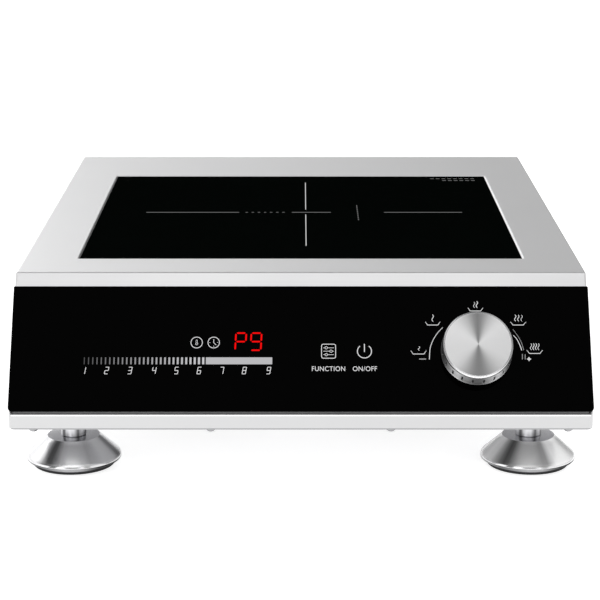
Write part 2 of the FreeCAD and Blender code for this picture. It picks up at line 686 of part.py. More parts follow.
def film_capacitors():
    # x0, x1, y0, y1, height
    sizes = [(-98, -70, 196, 250, 38), (-98, -70, 258, 312, 38), (72, 104, 184, 232, 34),
             (72, 104, 240, 288, 34), (-184, -158, 336, 376, 30)]
    return [round_upright(box(x0, x1, y0, y1, PCB_Z1, PCB_Z1 + height), 1.2)
            for x0, x1, y0, y1, height in sizes]


def toroid(x, y, outer_r, inner_r, height):
    ring = tube(x, y, PCB_Z1, PCB_Z1 + height, outer_r, inner_r)
    return fillet_where(ring, min(4.0, height / 3.0),
                        lambda edge: edge.Curve.TypeId == "Part::GeomCircle")


def chokes():
    return [toroid(88, 328, outer_r=17.0, inner_r=8.0, height=16.0),
            toroid(-160, 304, outer_r=20.0, inner_r=9.5, height=18.0)]


# ---------------------------------------------------------------- cooling fans and air duct
FAN_Z0 = SHELL_Z
FAN_Z1 = FAN_Z0 + FAN_H


def fan_frame(fan_x):
    frame = round_upright(box(fan_x - FAN_HALF, fan_x + FAN_HALF, FAN_Y - FAN_HALF,
                              FAN_Y + FAN_HALF, FAN_Z0, FAN_Z1), 5.0)
    frame = frame.cut(cylinder(fan_x, FAN_Y, FAN_Z0 - 1, FAN_Z1 + 1, 58.0))
    # shallow recesses in the four sides between the end flanges: x0, x1, y0, y1 from the axis
    half, floor, beyond = 34, 59.2, 61.2
    for x0, x1, y0, y1 in ((-half, half, floor, beyond), (-half, half, -beyond, -floor),
                           (floor, beyond, -half, half), (-beyond, -floor, -half, half)):
        frame = frame.cut(box(fan_x + x0, fan_x + x1, FAN_Y + y0, FAN_Y + y1,
                              FAN_Z0 + 4, FAN_Z1 - 4))
    hub = cylinder(fan_x, FAN_Y, FAN_Z0 + 0.5, FAN_Z0 + 4.0, 19.5)
    limit = cylinder(fan_x, FAN_Y, FAN_Z0, FAN_Z1, 58.6)
    struts = [spoke(fan_x, FAN_Y, 57.0 + 90.0 * k, start=17.0, length=44.0, width=3.4,
                    z=FAN_Z0 + 0.5, height=3.0).common(limit) for k in range(4)]
    frame = frame.fuse([hub] + struts).removeSplitter()
    return frame.cut([cylinder(x, y, FAN_Z0 - 1, FAN_Z1 + 1, 2.2) for x, y in FAN_HOLES]
                     + [cylinder(fan_x, FAN_Y, FAN_Z0 + 1.0, FAN_Z1, 1.56)])


def fan_impeller(fan_x):
    # axle and hub: radius, height above the fan underside
    hub = [(0, 1.2), (1.5, 1.2), (1.5, 4.6), (19.0, 4.6), (19.0, 20.5), (17.5, 22.0), (0, 22.0)]
    impeller = revolve([(radius, FAN_Z0 + z) for radius, z in hub], fan_x, FAN_Y)
    blade_count, blade_pitch = 7, 38.0
    for k in range(blade_count):
        blade = Part.makeBox(42.0, 25.0, 1.6, Vector(16.0, -12.5, -0.8))
        blade.rotate(Vector(0, 0, 0), Vector(1, 0, 0), blade_pitch)
        blade.translate(Vector(0, 0, FAN_Z0 + 13.2))
        blade.rotate(Vector(0, 0, 0), Vector(0, 0, 1), 360.0 / blade_count * k)
        blade.translate(Vector(fan_x, FAN_Y, 0))
        blade = blade.common(cylinder(fan_x, FAN_Y, FAN_Z0, FAN_Z1, 56.5))
        blade = blade.cut(cylinder(fan_x, FAN_Y, FAN_Z0, FAN_Z1, 18.2))
        for solid in blade.Solids:
            impeller = impeller.fuse(solid)
    return impeller


def fan_and_board_screws():
    fan_screw = pan_screw(head_r=3.5, head_h=2.2, shank_r=2.1, shank_l=24.0)
    board_screw = pan_screw(head_r=2.9, head_h=1.8, shank_r=1.45, shank_l=5.0)
    return ([moved(fan_screw, x, y, FEET_H) for x, y in FAN_HOLES]
            + [moved(board_screw, x, y, PCB_Z1, tilt=180)
               for x, y in POWER_STANDOFFS + FILTER_STANDOFFS]
            + [to_panel(moved(board_screw, x, y, BOARD_BACK)) for x, y in PANEL_STANDOFFS])


def air_duct():
    """Hood over both fans, open below and at the back, notched at the front."""
    duct = box(-134, 134, 22, 149, FAN_Z1, 97.0)
    duct = duct.cut(box(-132.5, 132.5, 23.5, 152, FAN_Z1 - 1, 95.5))
    return duct.cut([box(-36, 36, 20, 30, FAN_Z1 - 1, FAN_Z1 + 9)])


# ---------------------------------------------------------------- mains entry
TERMINAL_X = [141 + k * 12.6 for k in range(4)]
TERMINAL_WIRE_Z = SHELL_Z + 8
CABLE_START = TOP_DEPTH - 30.0      # front end of the cable jacket, inside the casing


def terminal_block():
    cuts = []
    for x in TERMINAL_X:
        cuts.append(cylinder(x, 358, SHELL_Z + 14, SHELL_Z + 21, 3.6))
        cuts.append(box(x - 4.2, x + 4.2, 366, 373, SHELL_Z + 4, SHELL_Z + 12))
        cuts.append(box(x - 4.2, x + 4.2, 343, 350, SHELL_Z + 4, SHELL_Z + 12))
    return box(134, 186, 344, 372, SHELL_Z, SHELL_Z + 20.0).cut(cuts)


def cable_gland():
    """Gland with two hexagons outside, and its lock nut inside the rear panel."""
    # radius, y behind the rear panel
    outside = [(12.4, 0), (15.5, 0), (15.5, 1.0), (13.6, 1.0), (13.6, 9.0), (12.6, 10.0),
               (12.6, 11.0), (14.4, 11.0), (14.4, 20.0), (12.6, 24.5), (9.0, 27.5), (6.6, 27.5)]
    gland = revolve_y([(6.6, TOP_DEPTH - 12.0), (12.4, TOP_DEPTH - 12.0)]
                      + [(radius, REAR_FACE + y) for radius, y in outside], GLAND_X, GLAND_Z)
    gland = gland.fuse([nut_y(GLAND_X, GLAND_Z, REAR_FACE + y0, REAR_FACE + y1, 29.0, 8.0)
                        for y0, y1 in ((0.5, 7.0), (12.0, 19.0))]).removeSplitter()
    return [gland, nut_y(GLAND_X, GLAND_Z, TOP_DEPTH - 6.5, TOP_DEPTH, 30.0, 12.45)]


def mains_cable():
    jacket_end = CABLE_END - 8.0
    core_offset = 2.9
    cores = []
    for k in range(3):
        angle = math.radians(90 + 120 * k)
        cores.append(cylinder_y(GLAND_X + core_offset * math.cos(angle),
                                GLAND_Z + core_offset * math.sin(angle),
                                jacket_end - 2.0, CABLE_END, 2.3))
    jacket = cylinder_y(GLAND_X, GLAND_Z, CABLE_START, jacket_end, 6.5)
    return jacket.fuse(cores).removeSplitter()


def earth_stud():
    """Stud, outer nut, washer and inner nut."""
    front_y, tip_y = TOP_DEPTH - 8.0, REAR_FACE + 15.0
    stud = revolve_y([(0, front_y), (3.0, front_y), (3.0, tip_y - 1.0), (2.4, tip_y),
                      (0, tip_y)], EARTH_X, EARTH_Z)
    outer_nut = nut_y(EARTH_X, EARTH_Z, REAR_FACE + 1.3, REAR_FACE + 6.3, 10.0, 3.02)
    washer = revolve_y([(3.05, REAR_FACE), (6.5, REAR_FACE), (6.5, REAR_FACE + 1.2),
                        (3.05, REAR_FACE + 1.2)], EARTH_X, EARTH_Z)
    inner_nut = nut_y(EARTH_X, EARTH_Z, TOP_DEPTH - 5.0, TOP_DEPTH, 10.0, 3.02)
    return [stud, outer_nut, washer, inner_nut]


# ---------------------------------------------------------------- wiring
def mains_wires():
    """Three wires from the cable to the terminals, two on to the filter board."""
    wires = []
    for k in range(3):
        start_x = GLAND_X + (k - 1) * 4.2
        wires.append(routed_lead([
            (start_x, CABLE_START, GLAND_Z), (start_x, 412, GLAND_Z),
            (TERMINAL_X[k], 396, TERMINAL_WIRE_Z), (TERMINAL_X[k], 367, TERMINAL_WIRE_Z)],
            radius=1.9, bend_r=8.0))
    for k in range(2):
        x, turn_y, cross_y, end_y = TERMINAL_X[k], 334 - k * 6, 356 + k * 6, 368 + 9 * k
        cross_z = 60 + 5 * k
        wires.append(routed_lead([
            (x, 349, TERMINAL_WIRE_Z), (x, turn_y, TERMINAL_WIRE_Z),
            (118 + k * 2, turn_y, cross_z), (112, cross_y, cross_z),
            (-118 - 6 * k, cross_y, cross_z), (-146, end_y, cross_z), (-146, end_y, PCB_Z1)],
            radius=1.6, bend_r=6.0))
    return wires


def coil_leads():
    """Leads from the outer and inner ends of the coil down to the power board."""
    wire_z = CARRIER_Z + 5.8
    outer_x, inner_x = COIL_X + 119.9, COIL_X + 31.7
    outer_lead = routed_lead([
        (outer_x, COIL_Y, wire_z), (outer_x, COIL_Y + 8, wire_z), (133.5, 229.6, wire_z),
        (133.5, 229.6, 64), (106.1, 236, 64), (106.1, 236, PCB_Z1)], radius=1.65, bend_r=5.0)
    inner_lead = routed_lead([
        (inner_x, COIL_Y, wire_z), (inner_x, COIL_Y - 4.5, wire_z), (*LEAD_HOLE, wire_z),
        (*LEAD_HOLE, 103), (66.5, 232, 103), (66.5, 350, 103), (66.5, 350, PCB_Z1)],
        radius=1.65, bend_r=3.0)
    return [outer_lead, inner_lead]


def ribbon_cable():
    """Flat cable from the control board to the power board."""
    plug_y, run_z, end_z = -86, 41.0, PCB_Z1 + 0.5
    start = panel_point(plug_y, BOARD_BACK)
    turn = panel_point(plug_y, BOARD_FACE - 5.0)
    path = [start, turn, (turn[0] + 2.0, run_z), (165.4, run_z), (165.4, end_z), (171.0, end_z)]
    ribbon = prism_x(strip_outline(path, 1.0), -6, 6)
    return ribbon.cut(to_panel(control_board_blank()))


# ---------------------------------------------------------------- feet
DISC_R = 18.5               # flat top of the foot base
DISC_Z = 21.5
RIM_R = 33.3
PAD_R = 27.5
PAD_H = 3.2
STUD_R = 4.95
THREAD_DEPTH = 0.7
THREAD_PITCH = 1.5
INSERT_Z = FEET_H - 1.5     # underside of the thread inserts
COLLAR_R = 9.0
COLLAR_TOP = INSERT_Z - 3.2


def foot_thread_inserts():
    top = FEET_H + 15.0
    outline = [(5.02, INSERT_Z), (9.0, INSERT_Z), (9.0, FEET_H), (6.45, FEET_H),
               (6.45, top), (5.02, top)]
    return [revolve(outline, x, y) for x, y in FEET.values()]


def foot_base(x, y):
    return revolve([
        (5.06, 9.0), (5.06, DISC_Z), (DISC_R - 0.5, DISC_Z), (DISC_R - 0.15, DISC_Z - 0.15),
        (DISC_R, DISC_Z - 0.5), (31.2, 9.35), (32.3, 8.2), (33.0, 7.1), (RIM_R, 6.1),
        (33.15, 5.3), (32.6, 4.5), (31.6, 3.9), (30.0, 3.5), (28.2, 3.4), (28.2, PAD_H),
        (0, PAD_H), (0, 9.0)], x, y)


def foot_pad(x, y):
    return revolve([(0, 0), (PAD_R - 0.8, 0), (PAD_R, 0.8), (PAD_R, PAD_H), (0, PAD_H)], x, y)


def foot_stem(x, y):
    """Stem with a collar and a ringed thread above it."""
    collar_z = DISC_Z + 0.08
    root_r = STUD_R - THREAD_DEPTH
    outline = [(0, 9.3), (5.0, 9.3), (5.0, collar_z), (COLLAR_R - 0.4, collar_z),
               (COLLAR_R, DISC_Z + 0.5), (COLLAR_R, COLLAR_TOP - 0.4),
               (COLLAR_R - 0.4, COLLAR_TOP), (root_r, COLLAR_TOP)]
    z = COLLAR_TOP + 0.7
    while z < FEET_H + 17.0:
        outline += [(root_r, z), (STUD_R, z + 0.55), (STUD_R, z + 0.8), (root_r, z + 1.35)]
        z += THREAD_PITCH
    outline += [(STUD_R - 0.9, z + 0.3), (0, z + 0.3)]
    return revolve(outline, x, y)


# ---------------------------------------------------------------- build
os.makedirs("parts", exist_ok=True)

# each function is named after its piece
for piece in (top_shell, bottom_plate, rear_panel, casing_screws,
              cooktop_glass, glass_support_frame, cooktop_seal,
              control_glass, control_gasket, control_board, display_module,
              level_bar_module, indicator_leds, touch_springs,
              encoder_body, encoder_nut, encoder_shaft, knob_cap, knob_core,
              coil_carrier, induction_coil, mica_insulator, ferrite_bars,
              temperature_sensor, coil_support_posts, coil_springs,
              power_board, filter_board, board_standoffs, heat_sink, power_transistors,
              bridge_rectifier, film_capacitors, chokes,
              fan_and_board_screws, air_duct,
              terminal_block, cable_gland, mains_cable, earth_stud,
              mains_wires, coil_leads, ribbon_cable, foot_thread_inserts):
    export(piece.__name__, piece())

for hand, fan_x in (("left", -FAN_X), ("right", FAN_X)):
    export("fan_frame_" + hand, fan_frame(fan_x))
    export("fan_impeller_" + hand, fan_impeller(fan_x))

for place, (x, y) in FEET.items():
    export("foot_base_" + place, foot_base(x, y))
    export("foot_pad_" + place, foot_pad(x, y))
    export("foot_stem_" + place, foot_stem(x, y))
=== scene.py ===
"""A freestanding induction cooktop: glass plate, sloping touch panel with a knob, four feet.

It stands on the floor at z = 0. x runs across to the right, the front faces -y.
Drawings on the panel use millimetres: u across, v up the slope from the front bend of the top.
"""
import math

import bmesh
import bpy
from mathutils import Matrix, Vector


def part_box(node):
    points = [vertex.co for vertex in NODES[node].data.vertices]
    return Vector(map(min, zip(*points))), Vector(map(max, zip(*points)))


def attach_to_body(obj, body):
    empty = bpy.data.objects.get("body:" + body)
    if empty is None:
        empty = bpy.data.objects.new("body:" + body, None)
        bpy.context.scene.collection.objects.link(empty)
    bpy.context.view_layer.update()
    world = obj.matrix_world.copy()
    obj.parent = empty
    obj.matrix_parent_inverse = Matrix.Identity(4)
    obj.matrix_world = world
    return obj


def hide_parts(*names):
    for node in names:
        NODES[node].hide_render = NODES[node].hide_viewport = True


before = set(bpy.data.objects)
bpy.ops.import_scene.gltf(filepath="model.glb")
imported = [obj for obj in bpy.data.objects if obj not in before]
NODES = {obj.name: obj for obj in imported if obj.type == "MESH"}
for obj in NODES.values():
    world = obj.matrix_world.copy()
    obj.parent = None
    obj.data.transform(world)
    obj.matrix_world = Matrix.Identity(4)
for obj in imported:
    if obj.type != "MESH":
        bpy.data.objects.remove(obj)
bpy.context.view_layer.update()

SCENE = bpy.context.scene
SCENE.view_settings.view_transform = "Standard"

# ---------------------------------------------------------------- places in the frame
MM = 0.001
TOP_DEPTH = 459.4        # rear of the casing to the front bend of its top
PANEL_LENGTH = 103.6     # down the slope from the front bend
PANEL_GLASS = 5.0        # glass surface above the slope
SLOPE = math.radians(34.3)
SLOPE_SIN, SLOPE_COS = math.sin(SLOPE), math.cos(SLOPE)

shell_low, shell_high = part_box("top_shell")
BEND_Y = shell_high.y - TOP_DEPTH * MM
TOP_Z = shell_high.z
HALF_WIDTH = shell_high.x / MM
PLATE_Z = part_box("cooktop_glass")[1].z

ACROSS = Vector((1, 0, 0))
UP_SLOPE = Vector((0, SLOPE_SIN, SLOPE_COS))
OUTWARD = Vector((0, -SLOPE_COS, SLOPE_SIN))
DOWN_SLOPE = (0, -SLOPE_SIN, -SLOPE_COS)
FEET = ("front_left", "front_right", "rear_left", "rear_right")

KNOB_CENTRE = (121.0, -60.2)
DISPLAY_V = -60.0
FIGURES_U = (-45.9, -35.3)
NUMERALS_V = -76.8
NUMERALS_U = (-148.0, -133.3, -117.3, -100.7, -85.4, -69.8, -54.3, -38.8, -22.1)
LAMPS = ((-71.85, -53.85), (-60.1, -53.85))      # temperature, timer
FUNCTION_KEY = (19.1, -60.15)
ON_OFF_KEY = (43.8, -60.2)
KEY_WORDS_V = -72.85
KEY_WORD_HEIGHT = 3.4


def panel_matrix(u=0.0, v=0.0, out=0.0):
    """Local x, y, z are across, up the slope and out of it; the origin is in millimetres."""
    matrix = Matrix((ACROSS, UP_SLOPE, OUTWARD)).transposed().to_4x4()
    offset = (ACROSS * u + UP_SLOPE * v + OUTWARD * out) * MM
    matrix.translation = Vector((0, BEND_Y, TOP_Z)) + offset
    return matrix


# ---------------------------------------------------------------- node helpers
class Nodes:
    """A node tree with short ways to add and join nodes."""

    def __init__(self, tree):
        self.tree = tree

    def node(self, kind, **properties):
        node = self.tree.nodes.new(kind)
        for key, value in properties.items():
            setattr(node, key, value)
        return node

    def feed(self, value, socket):
        """Link an output into the socket, or set a plain value on it."""
        if isinstance(value, bpy.types.NodeSocket):
            self.tree.links.new(value, socket)
        else:
            socket.default_value = value

    def calc(self, operation, *values):
        node = self.node("ShaderNodeMath", operation=operation)
        for value, socket in zip(values, node.inputs):
            self.feed(value, socket)
        return node.outputs[0]

    def span(self, value, low, high, start=0.3, end=0.7, smooth=False):
        """Goes from low to high as the value goes from start to end."""
        node = self.node("ShaderNodeMapRange")
        if smooth:
            node.interpolation_type = "SMOOTHSTEP"
        limits = {"From Min": start, "From Max": end, "To Min": low, "To Max": high}
        for key, limit in limits.items():
            node.inputs[key].default_value = limit
        self.feed(value, node.inputs["Value"])
        return node.outputs["Result"]


class Mat(Nodes):
    """A material built round its Principled shader."""

    def __init__(self, name):
        self.material = bpy.data.materials.new(name)
        self.material.use_nodes = True
        super().__init__(self.material.node_tree)
        self.shader = self.tree.nodes["Principled BSDF"]
        self.coordinates = self.node("ShaderNodeTexCoord").outputs["Object"]

    def set(self, **inputs):
        for key, value in inputs.items():
            self.feed(value, self.shader.inputs[key.replace("_", " ")])

    def mapped(self, scale=(1, 1, 1)):
        node = self.node("ShaderNodeMapping")
        node.inputs["Scale"].default_value = scale
        self.feed(self.coordinates, node.inputs["Vector"])
        return node.outputs[0]

    def noise(self, scale, detail, roughness=0.6, vector=None):
        node = self.node("ShaderNodeTexNoise")
        node.inputs["Scale"].default_value = scale
        node.inputs["Detail"].default_value = detail
        node.inputs["Roughness"].default_value = roughness
        self.feed(vector or self.mapped(), node.inputs["Vector"])
        return node.outputs["Fac"]

    def ramp(self, factor, stops):
        """stops: (position, grey level or colour)."""
        node = self.node("ShaderNodeValToRGB")
        elements = node.color_ramp.elements
        while len(elements) < len(stops):
            elements.new(0.5)
        for element, (position, colour) in zip(elements, stops):
            element.position = position
            rgb = grey(colour) if isinstance(colour, (int, float)) else colour
            element.color = (*rgb, 1)
        self.feed(factor, node.inputs["Fac"])
        return node.outputs["Color"]

    def tinted(self, factor, colour, tint, start, end):
        """The colour, darker to lighter by the tint."""
        return self.ramp(factor, [(start, shade(colour, 1 - tint)), (end, shade(colour, 1 + tint))])

    def dot(self, vector, axis):
        node = self.node("ShaderNodeVectorMath", operation="DOT_PRODUCT")
        self.feed(vector, node.inputs[0])
        node.inputs[1].default_value = axis
        return node.outputs["Value"]

    def multiplied(self, first, second):
        node = self.node("ShaderNodeMix", data_type="RGBA", blend_type="MULTIPLY")
        node.inputs["Factor"].default_value = 1.0
        self.feed(first, node.inputs["A"])
        self.feed(second, node.inputs["B"])
        return node.outputs["Result"]

    def bump(self, height, distance):
        node = self.node("ShaderNodeBump")
        node.inputs["Strength"].default_value = 1.0
        node.inputs["Distance"].default_value = distance
        self.feed(height, node.inputs["Height"])
        self.set(Normal=node.outputs["Normal"])


def grey(level):
    return (level, level, level)


def shade(colour, factor):
    return tuple(max(0.0, min(1.0, part * factor)) for part in colour)


# ---------------------------------------------------------------- kinds of material
def brushed(name, colour, roughness, grain=(3.0, 900.0, 900.0), spread=0.06, tint=0.05,
            depth=0.000004):
    """Metal with a grain stretched by the noise scale along x, y and z."""
    mat = Mat(name)
    lines = mat.noise(scale=1.0, detail=6.0, roughness=0.7, vector=mat.mapped(grain))
    clouds = mat.noise(scale=9.0, detail=2.0)
    fine = mat.span(lines, low=roughness - spread, high=roughness + spread)
    wide = mat.span(clouds, low=-0.02, high=0.02)
    mat.set(Base_Color=mat.tinted(lines, colour, tint, start=0.25, end=0.75),
            Roughness=mat.calc("ADD", fine, wide), Metallic=1.0)
    mat.bump(lines, depth)
    return mat


def plain(name, colour, roughness, scale=400.0, tint=0.12, depth=0.00002, metal=0.0,
          specular=0.5, coat=0.0):
    """Even surface with a fine bump and a wide mottle."""
    mat = Mat(name)
    fine = mat.noise(scale=scale, detail=5.0)
    wide = mat.noise(scale=22.0, detail=3.0)
    low, high = max(0.02, roughness - 0.06), min(1.0, roughness + 0.06)
    mat.set(Base_Color=mat.tinted(wide, colour, tint, start=0.3, end=0.7),
            Roughness=mat.span(fine, low=low, high=high),
            Metallic=metal, Specular_IOR_Level=specular, Coat_Weight=coat)
    mat.bump(fine, depth)
    return mat


def glow(name, colour, strength, fade=None):
    """Glowing print, with a slight mottle and an optional fade along x: the panel's prints are lit
    from behind the glass; on the cooking plate the glow of the prints and edge strips is painted
    light.
    """
    mat = Mat(name)
    mottle = mat.noise(scale=1500.0, detail=2.0)
    if fade is None:
        emission = mat.span(mottle, low=strength * 0.97, high=strength)
    else:
        split = mat.node("ShaderNodeSeparateXYZ")
        mat.feed(mat.coordinates, split.inputs[0])
        emission = mat.span(split.outputs["X"], high=strength, **fade)
    mat.set(Base_Color=(*grey(0.004), 1), Roughness=0.5, Specular_IOR_Level=0.0,
            Emission_Color=mat.ramp(mottle, [(0.0, shade(colour, 0.93)), (1.0, colour)]),
            Emission_Strength=emission)
    return mat


def reflection_painted_metal(name, colour, roughness, stops, zero_axis=(0, -1, 0), repeats=2, metal=1.0,
             grain=(40, 40, 2600), specular=0.5):
    """Turned metal: streaks by the direction the surface faces, so they stay put when it turns.

    stops: (degrees from the zero axis towards +x, brightness of the painted reflection).
    """
    mat = Mat(name)
    normal = mat.node("ShaderNodeNewGeometry").outputs["Normal"]
    angle = mat.calc("ARCTAN2", mat.dot(normal, (1, 0, 0)), mat.dot(normal, zero_axis))
    half = 180.0 / repeats
    turn = mat.calc("MULTIPLY", angle, 90.0 / (math.pi * half))
    position = mat.calc("FRACT", mat.calc("ADD", turn, 0.5))
    painted_streaks = mat.ramp(position, [
        ((degrees + half) / (2 * half), tuple(min(1.0, part * bright) for part in colour))
        for degrees, bright in stops])
    rings = mat.noise(scale=1.0, detail=3.0, vector=mat.mapped(grain))
    mat.set(Base_Color=mat.multiplied(painted_streaks, mat.ramp(rings, [(0.3, 0.985), (0.7, 1.0)])),
            Roughness=mat.span(rings, low=roughness - 0.01, high=roughness + 0.01),
            Metallic=metal, Specular_IOR_Level=specular)
    return mat


def black_glass(name, colour, roughness, specular, speck):
    """Polished black glass: faint depth mottle, a trace of surface unevenness."""
    mat = Mat(name)
    mottle = mat.noise(scale=2600.0, detail=3.0)
    waves = mat.noise(scale=14.0, detail=2.0)
    mat.set(Base_Color=mat.ramp(mottle, [(0.60, colour), (0.86, shade(colour, speck))]),
            Roughness=mat.span(waves, low=roughness * 0.7, high=roughness * 1.3),
            Specular_IOR_Level=specular)
    return mat


# Painted shine of the spun face: (degrees of the groove direction, grey level painted into its
# colour)
SPUN_PAINTED_SHINE = [
    (-90, 0.255), (-82, 0.32), (-75, 0.43), (-68, 0.54), (-60, 0.61), (-50, 0.67),
    (-40, 0.69), (-20, 0.675), (0, 0.665), (25, 0.65), (40, 0.61), (50, 0.56),
    (60, 0.48), (68, 0.4), (75, 0.33), (83, 0.27), (90, 0.255),
]


def spun_aluminium_painted_shine(name):
    """Spun face with round grooves; its fan-shaped shine is partly anisotropic reflection and
    partly a highlight painted into its colour.
    """
    mat = Mat(name)
    mat.set(Metallic=1.0, Base_Color=(0.72, 0.72, 0.73, 1), Anisotropic=0.9,
            Anisotropic_Rotation=0.25)
    radius = mat.node("ShaderNodeVectorMath", operation="LENGTH")
    mat.feed(mat.mapped((1, 1, 0)), radius.inputs[0])
    by_radius = mat.node("ShaderNodeCombineXYZ")
    mat.feed(radius.outputs["Value"], by_radius.inputs["X"])
    rings = mat.noise(scale=5200.0, detail=3.0, vector=by_radius.outputs[0])
    tangent = mat.node("ShaderNodeTangent", direction_type="RADIAL", axis="Z").outputs[0]
    # painted shine: dark where the grooves run level, light where they run up and down
    groove = mat.calc("ARCSINE", mat.dot(tangent, (1, 0, 0)))
    fan = mat.span(groove, low=0.0, high=1.0, start=-math.pi / 2, end=math.pi / 2)
    painted_shine = mat.ramp(fan, [((degrees + 90) / 180, level) for degrees, level in SPUN_PAINTED_SHINE])
    lines = mat.ramp(rings, [(0.3, (0.95, 0.95, 0.96)), (0.7, (1.0, 1.0, 1.0))])
    mat.set(Roughness=mat.span(rings, low=0.36, high=0.46), Tangent=tangent,
            Base_Color=mat.multiplied(painted_shine, lines))
    mat.bump(rings, 0.000003)
    return mat


# ---------------------------------------------------------------- materials of the CAD pieces
LOOKS = {}


def dress(mat, *pieces):
    LOOKS.update(dict.fromkeys(pieces, mat))


def each_foot(prefix):
    return [prefix + foot for foot in FEET]


FOOT_GRAIN = (60, 60, 2400)

dress(brushed("steel_top", (0.68, 0.68, 0.685), roughness=0.40, spread=0.03, tint=0.02,
              depth=0.0000015), "top_shell")
dress(brushed("steel_rear", (0.66, 0.66, 0.665), roughness=0.40, spread=0.04, tint=0.03,
              depth=0.000002), "rear_panel")
dress(brushed("steel_inner", (0.42, 0.42, 0.43), roughness=0.42, grain=(700.0, 3.0, 700.0)),
      "bottom_plate", "glass_support_frame")
dress(brushed("screw_zinc", (0.46, 0.46, 0.47), roughness=0.2, grain=(600, 600, 600),
              depth=0.000002),
      "casing_screws", "encoder_nut", "encoder_shaft", "fan_and_board_screws",
      "foot_thread_inserts")
dress(brushed("foot_chrome", (0.80, 0.80, 0.82), roughness=0.10, grain=FOOT_GRAIN,
              spread=0.03, tint=0.02, depth=0.0000012), *each_foot("foot_base_"))
dress(brushed("spring_wire", (0.5, 0.5, 0.52), roughness=0.3, grain=(500, 500, 500)),
      "touch_springs", "coil_springs")
dress(brushed("extruded_aluminium", (0.62, 0.62, 0.64), roughness=0.42, grain=(900, 4, 900)),
      "coil_support_posts", "heat_sink")
dress(brushed("litz_copper", (0.74, 0.33, 0.14), roughness=0.38, grain=(1400, 1400, 300),
              tint=0.25, depth=0.00006), "induction_coil")
dress(brushed("brass", (0.72, 0.52, 0.2), roughness=0.3, grain=(400, 400, 900)),
      "board_standoffs", "earth_stud")

RUBBER = plain("rubber_black", (0.018, 0.018, 0.019), roughness=0.72, scale=900,
               depth=0.00004, specular=0.3)
dress(RUBBER, *each_foot("foot_pad_"))
dress(plain("silicone_black", (0.012, 0.012, 0.013), roughness=0.45, scale=500,
            specular=0.25), "cooktop_seal")
dress(plain("gasket_foam", grey(0.03), roughness=0.9, scale=1600, depth=0.00015),
      "control_gasket")
dress(plain("cable_jacket", (0.016, 0.016, 0.017), roughness=0.55, scale=700,
            depth=0.00005), "mains_cable")
dress(plain("plastic_black", (0.022, 0.022, 0.024), roughness=0.5, scale=1400,
            depth=0.00003),
      "knob_core", "encoder_body", "power_transistors", "bridge_rectifier",
      "fan_frame_left", "fan_frame_right", "fan_impeller_left", "fan_impeller_right",
      "air_duct")
dress(plain("gland_polyamide", (0.03, 0.03, 0.032), roughness=0.42, scale=1200,
            depth=0.00003), "cable_gland")
dress(plain("plastic_ivory", (0.62, 0.58, 0.46), roughness=0.55, scale=900),
      "coil_carrier", "terminal_block")
dress(plain("solder_mask", (0.012, 0.13, 0.045), roughness=0.3, scale=260, tint=0.3,
            depth=0.00003, coat=0.3), "control_board", "power_board", "filter_board")
dress(plain("ferrite", (0.045, 0.045, 0.05), roughness=0.6, scale=1800, depth=0.00006),
      "ferrite_bars")
dress(plain("mica", (0.55, 0.48, 0.32), roughness=0.45, scale=60, tint=0.25),
      "mica_insulator")
dress(plain("capacitor_case", (0.5, 0.07, 0.03), roughness=0.32, scale=300, coat=0.2),
      "film_capacitors")
dress(plain("choke_coating", (0.05, 0.14, 0.06), roughness=0.4, scale=350), "chokes")
dress(plain("ribbon", (0.4, 0.4, 0.42), roughness=0.45, scale=250), "ribbon_cable")
dress(plain("wire_pvc", (0.24, 0.1, 0.03), roughness=0.4, scale=300),
      "coil_leads", "mains_wires")
dress(plain("sensor_ceramic", (0.72, 0.72, 0.7), roughness=0.5, scale=900),
      "temperature_sensor")
dress(plain("led_lens", grey(0.7), roughness=0.3, scale=900), "indicator_leds")
dress(plain("display_face", (0.05, 0.006, 0.006), roughness=0.3, scale=900),
      "display_module")
dress(plain("bar_face", (0.3, 0.3, 0.31), roughness=0.35, scale=900), "level_bar_module")
dress(black_glass("glass_ceramic", (0.0012, 0.0018, 0.0015), roughness=0.03,
                  specular=0.07, speck=1.8), "cooktop_glass")
dress(black_glass("panel_glass", grey(0.0002), roughness=0.04, specular=0.010, speck=1.3),
      "control_glass")

# ---------------------------------------------------------------- turned metal with painted reflections
# Painted reflection streaks: (degrees, brightness), the stops of the turned-metal material above
CONE_PAINTED_REFLECTIONS = [
    (-90, 1.15), (-80, 1.32), (-50, 1.3), (-43, 0.85), (-37, 0.34), (-31, 0.13), (-25, 0.16),
    (-19, 0.45), (-12, 0.84), (-3, 1.03), (10, 1.04), (20, 0.98), (27, 0.84), (35, 0.98),
    (48, 1.33), (58, 1.34), (66, 1.2), (77, 0.48), (84, 0.5), (90, 1.15),
]
RIGHT_CONE_PAINTED_REFLECTIONS = [
    (-90, 0.95), (-87, 1.0), (-69, 1.0), (-59, 0.83), (-51, 0.45), (-43, 0.18), (-37, 0.075),
    (-31, 0.12), (-25, 0.29), (-19, 0.46), (-14, 0.52), (-8, 0.53), (-3, 0.53), (3, 0.51),
    (8, 0.46), (14, 0.37), (20, 0.39), (26, 0.76), (32, 1.0), (52, 1.0), (62, 1.0),
    (84, 0.85), (90, 0.95),
]
STEM_PAINTED_REFLECTIONS = [
    (-90, 1.1), (-57, 1.15), (-45, 0.16), (-36, 0.3), (-28, 0.95), (-12, 1.2), (6, 1.15),
    (17, 0.6), (27, 0.16), (35, 0.55), (48, 0.9), (60, 0.7), (72, 0.3), (80, 0.5), (90, 1.1),
]
LIP_PAINTED_REFLECTIONS = [
    (-90, 1.0), (-60, 0.8), (-40, 0.3), (-25, 0.55), (-5, 1.0), (12, 0.9), (26, 0.35),
    (38, 0.08), (62, 0.05), (78, 0.4), (90, 1.0),
]
